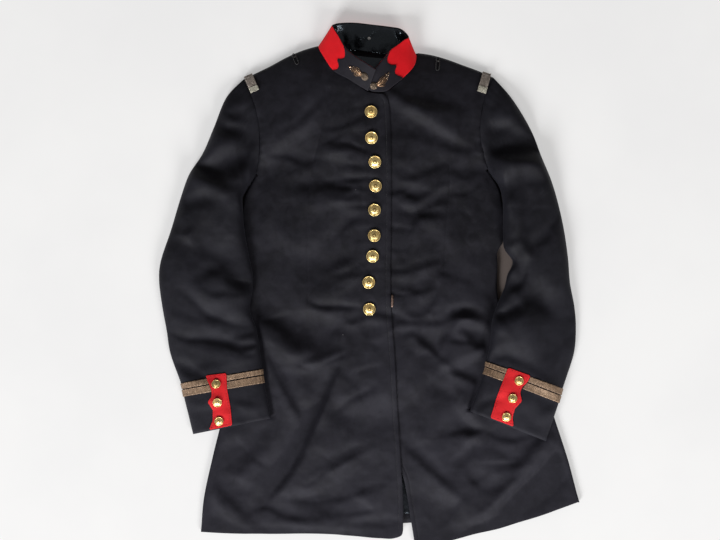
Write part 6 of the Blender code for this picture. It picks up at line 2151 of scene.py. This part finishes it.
make_back_cloth()
for side in SIDES:
    make_front_cloth(side)
    make_sleeve_cloth(side)
make_collar_cloth()
make_lining_satin()
for side in SIDES:
    make_tab_cloth(side)
    make_badge_thread(side)
    make_spangles(side)
    make_patch_cloth(side)
    make_galon_lace(side)
    make_strap_lace(side)
    make_loop_cord(side)
make_buttons()
make_hook_metal()
make_stud_form()
for side in SIDES:
    make_front_stitches(side)

# ---------------------------------------------------------------- floor, lights and camera

FLOOR_PAINTED_GLOW = 0.37  # painted light: the table glows, filling its shadows, but not where the tunic covers it
PAINTED_SHADOW_OVAL = {"y": 0.07, "wide": 0.28, "high": 0.24}  # an oval of painted shadow inside the tunic's outline, in metres
PAINTED_SHADOW_EDGE = 0.92  # share of the oval at which the painted shadow is full and the glow is gone
REACH, TABLE_THICK, TABLE_TOP = 4.0, 0.02, -0.0006


def pale_surface(name):
    """A smooth pale surface, its slightly uneven colour, and a glow of painted light."""
    f = Finish(name, Specular_IOR_Level=0.2, Emission_Color=rgb(1.0, 1.0, 1.0), Emission_Strength=FLOOR_PAINTED_GLOW)
    f.rough(f.stretch(f.noise(40.0, 2.0), 0.3, 0.7, 0.7, 0.9))
    grain = f.blend(f.stretch(f.noise(3.0, 4.0), 0.3, 0.7), rgb(0.52, 0.52, 0.525), rgb(0.56, 0.56, 0.56))
    f.colour(grain)
    return f, grain


def table_top():
    """The table's top: pale and glowing with painted light, but darker with painted shadow and without its
    glow where the tunic covers it.
    """
    f, grain = pale_surface("pale_floor")
    wide, high = PAINTED_SHADOW_OVAL["wide"], PAINTED_SHADOW_OVAL["high"]
    oval = f.turned(scale=(1 / wide, 1 / high, 0.0), shift=(0.0, -PAINTED_SHADOW_OVAL["y"] / high, 0.0))
    out = f.add("ShaderNodeVectorMath", {"operation": "LENGTH"}, i0=oval).outputs["Value"]
    painted_shadow = f.stretch(out, 1.0, PAINTED_SHADOW_EDGE)
    # Painted shadow: the table is dark under the tunic, where the gap between the skirt and the sleeve shows
    # it
    f.colour(f.blend(painted_shadow, grain, rgb(0.145, 0.118, 0.108)))
    f.put(f.shader.inputs["Emission Strength"], f.stretch(painted_shadow, 0.0, 1.0, FLOOR_PAINTED_GLOW, 0.0))
    return f.material


def make_floor():
    """A broad pale slab under the tunic."""
    corners = [(-REACH, -REACH), (REACH, -REACH), (REACH, REACH), (-REACH, REACH)]
    points = [(x, y, z) for z in (0.0, -TABLE_THICK) for x, y in corners]
    rims = [(k, k + 4, (k + 1) % 4 + 4, (k + 1) % 4) for k in range(4)]
    mesh = bpy.data.meshes.new("floor")
    mesh.from_pydata(points, [], [(0, 1, 2, 3), (7, 6, 5, 4)] + rims)
    mesh.polygons.foreach_set("material_index", [0] + [1] * 5)
    mesh.materials.append(table_top())
    mesh.materials.append(pale_surface("pale_floor_edge")[0].material)
    floor = bpy.data.objects.new("floor", mesh)
    floor.location.z = TABLE_TOP
    bpy.context.scene.collection.objects.link(floor)


def area_light(name, place, size, power, colour=(1.0, 1.0, 1.0)):
    """A square lamp, turned to the middle of the tunic."""
    data = bpy.data.lights.new(name, "AREA")
    data.shape = "RECTANGLE"
    data.size = data.size_y = size
    data.energy = power
    data.color = colour
    lamp = bpy.data.objects.new(name, data)
    lamp.location = place
    lamp.rotation_euler = (-Vector(place)).to_track_quat("-Z", "Y").to_euler()
    bpy.context.scene.collection.objects.link(lamp)


def make_lights():
    """Two soft lamps beyond the skirt, low on both sides, and a dim warm room."""
    area_light("front_left", (-4.0, -7.6, 4.6), 3.4, 1020.0)
    area_light("front_right", (4.0, -7.6, 4.6), 3.4, 600.0, (1.0, 0.99, 0.97))
    world = bpy.data.worlds.new("studio")
    world.use_nodes = True
    world.node_tree.nodes["Background"].inputs["Color"].default_value = (1.0, 0.95, 0.92, 1.0)
    world.node_tree.nodes["Background"].inputs["Strength"].default_value = 0.16
    bpy.context.scene.world = world
    bpy.context.scene.view_settings.view_transform = "Standard"


PHOTO_WIDTH, MM_PER_PIXEL = 720, 1.7
CAMERA_AIM = (-14.45, 25.5)  # plan point at the middle of the photograph
CAMERA_DISTANCE, CAMERA_TILT = 3.0, math.radians(4.0)


def make_camera():
    """The camera almost straight above, with a lens that gives the tunic its size in the photograph."""
    data = bpy.data.cameras.new("camera")
    data.sensor_width = 36.0
    data.lens = data.sensor_width * CAMERA_DISTANCE / MM / (PHOTO_WIDTH * MM_PER_PIXEL)
    data.clip_end = 20.0
    camera = bpy.data.objects.new("camera", data)
    aim = Vector((CAMERA_AIM[0] - CENTRE_X, CAMERA_AIM[1] - CENTRE_Y, 0.0)) * MM
    back = Vector((0.0, -math.sin(CAMERA_TILT), math.cos(CAMERA_TILT)))
    camera.location = aim + back * CAMERA_DISTANCE
    camera.rotation_euler = (CAMERA_TILT, 0.0, 0.0)
    bpy.context.scene.collection.objects.link(camera)
    bpy.context.scene.camera = camera


make_floor()
make_lights()
make_camera()
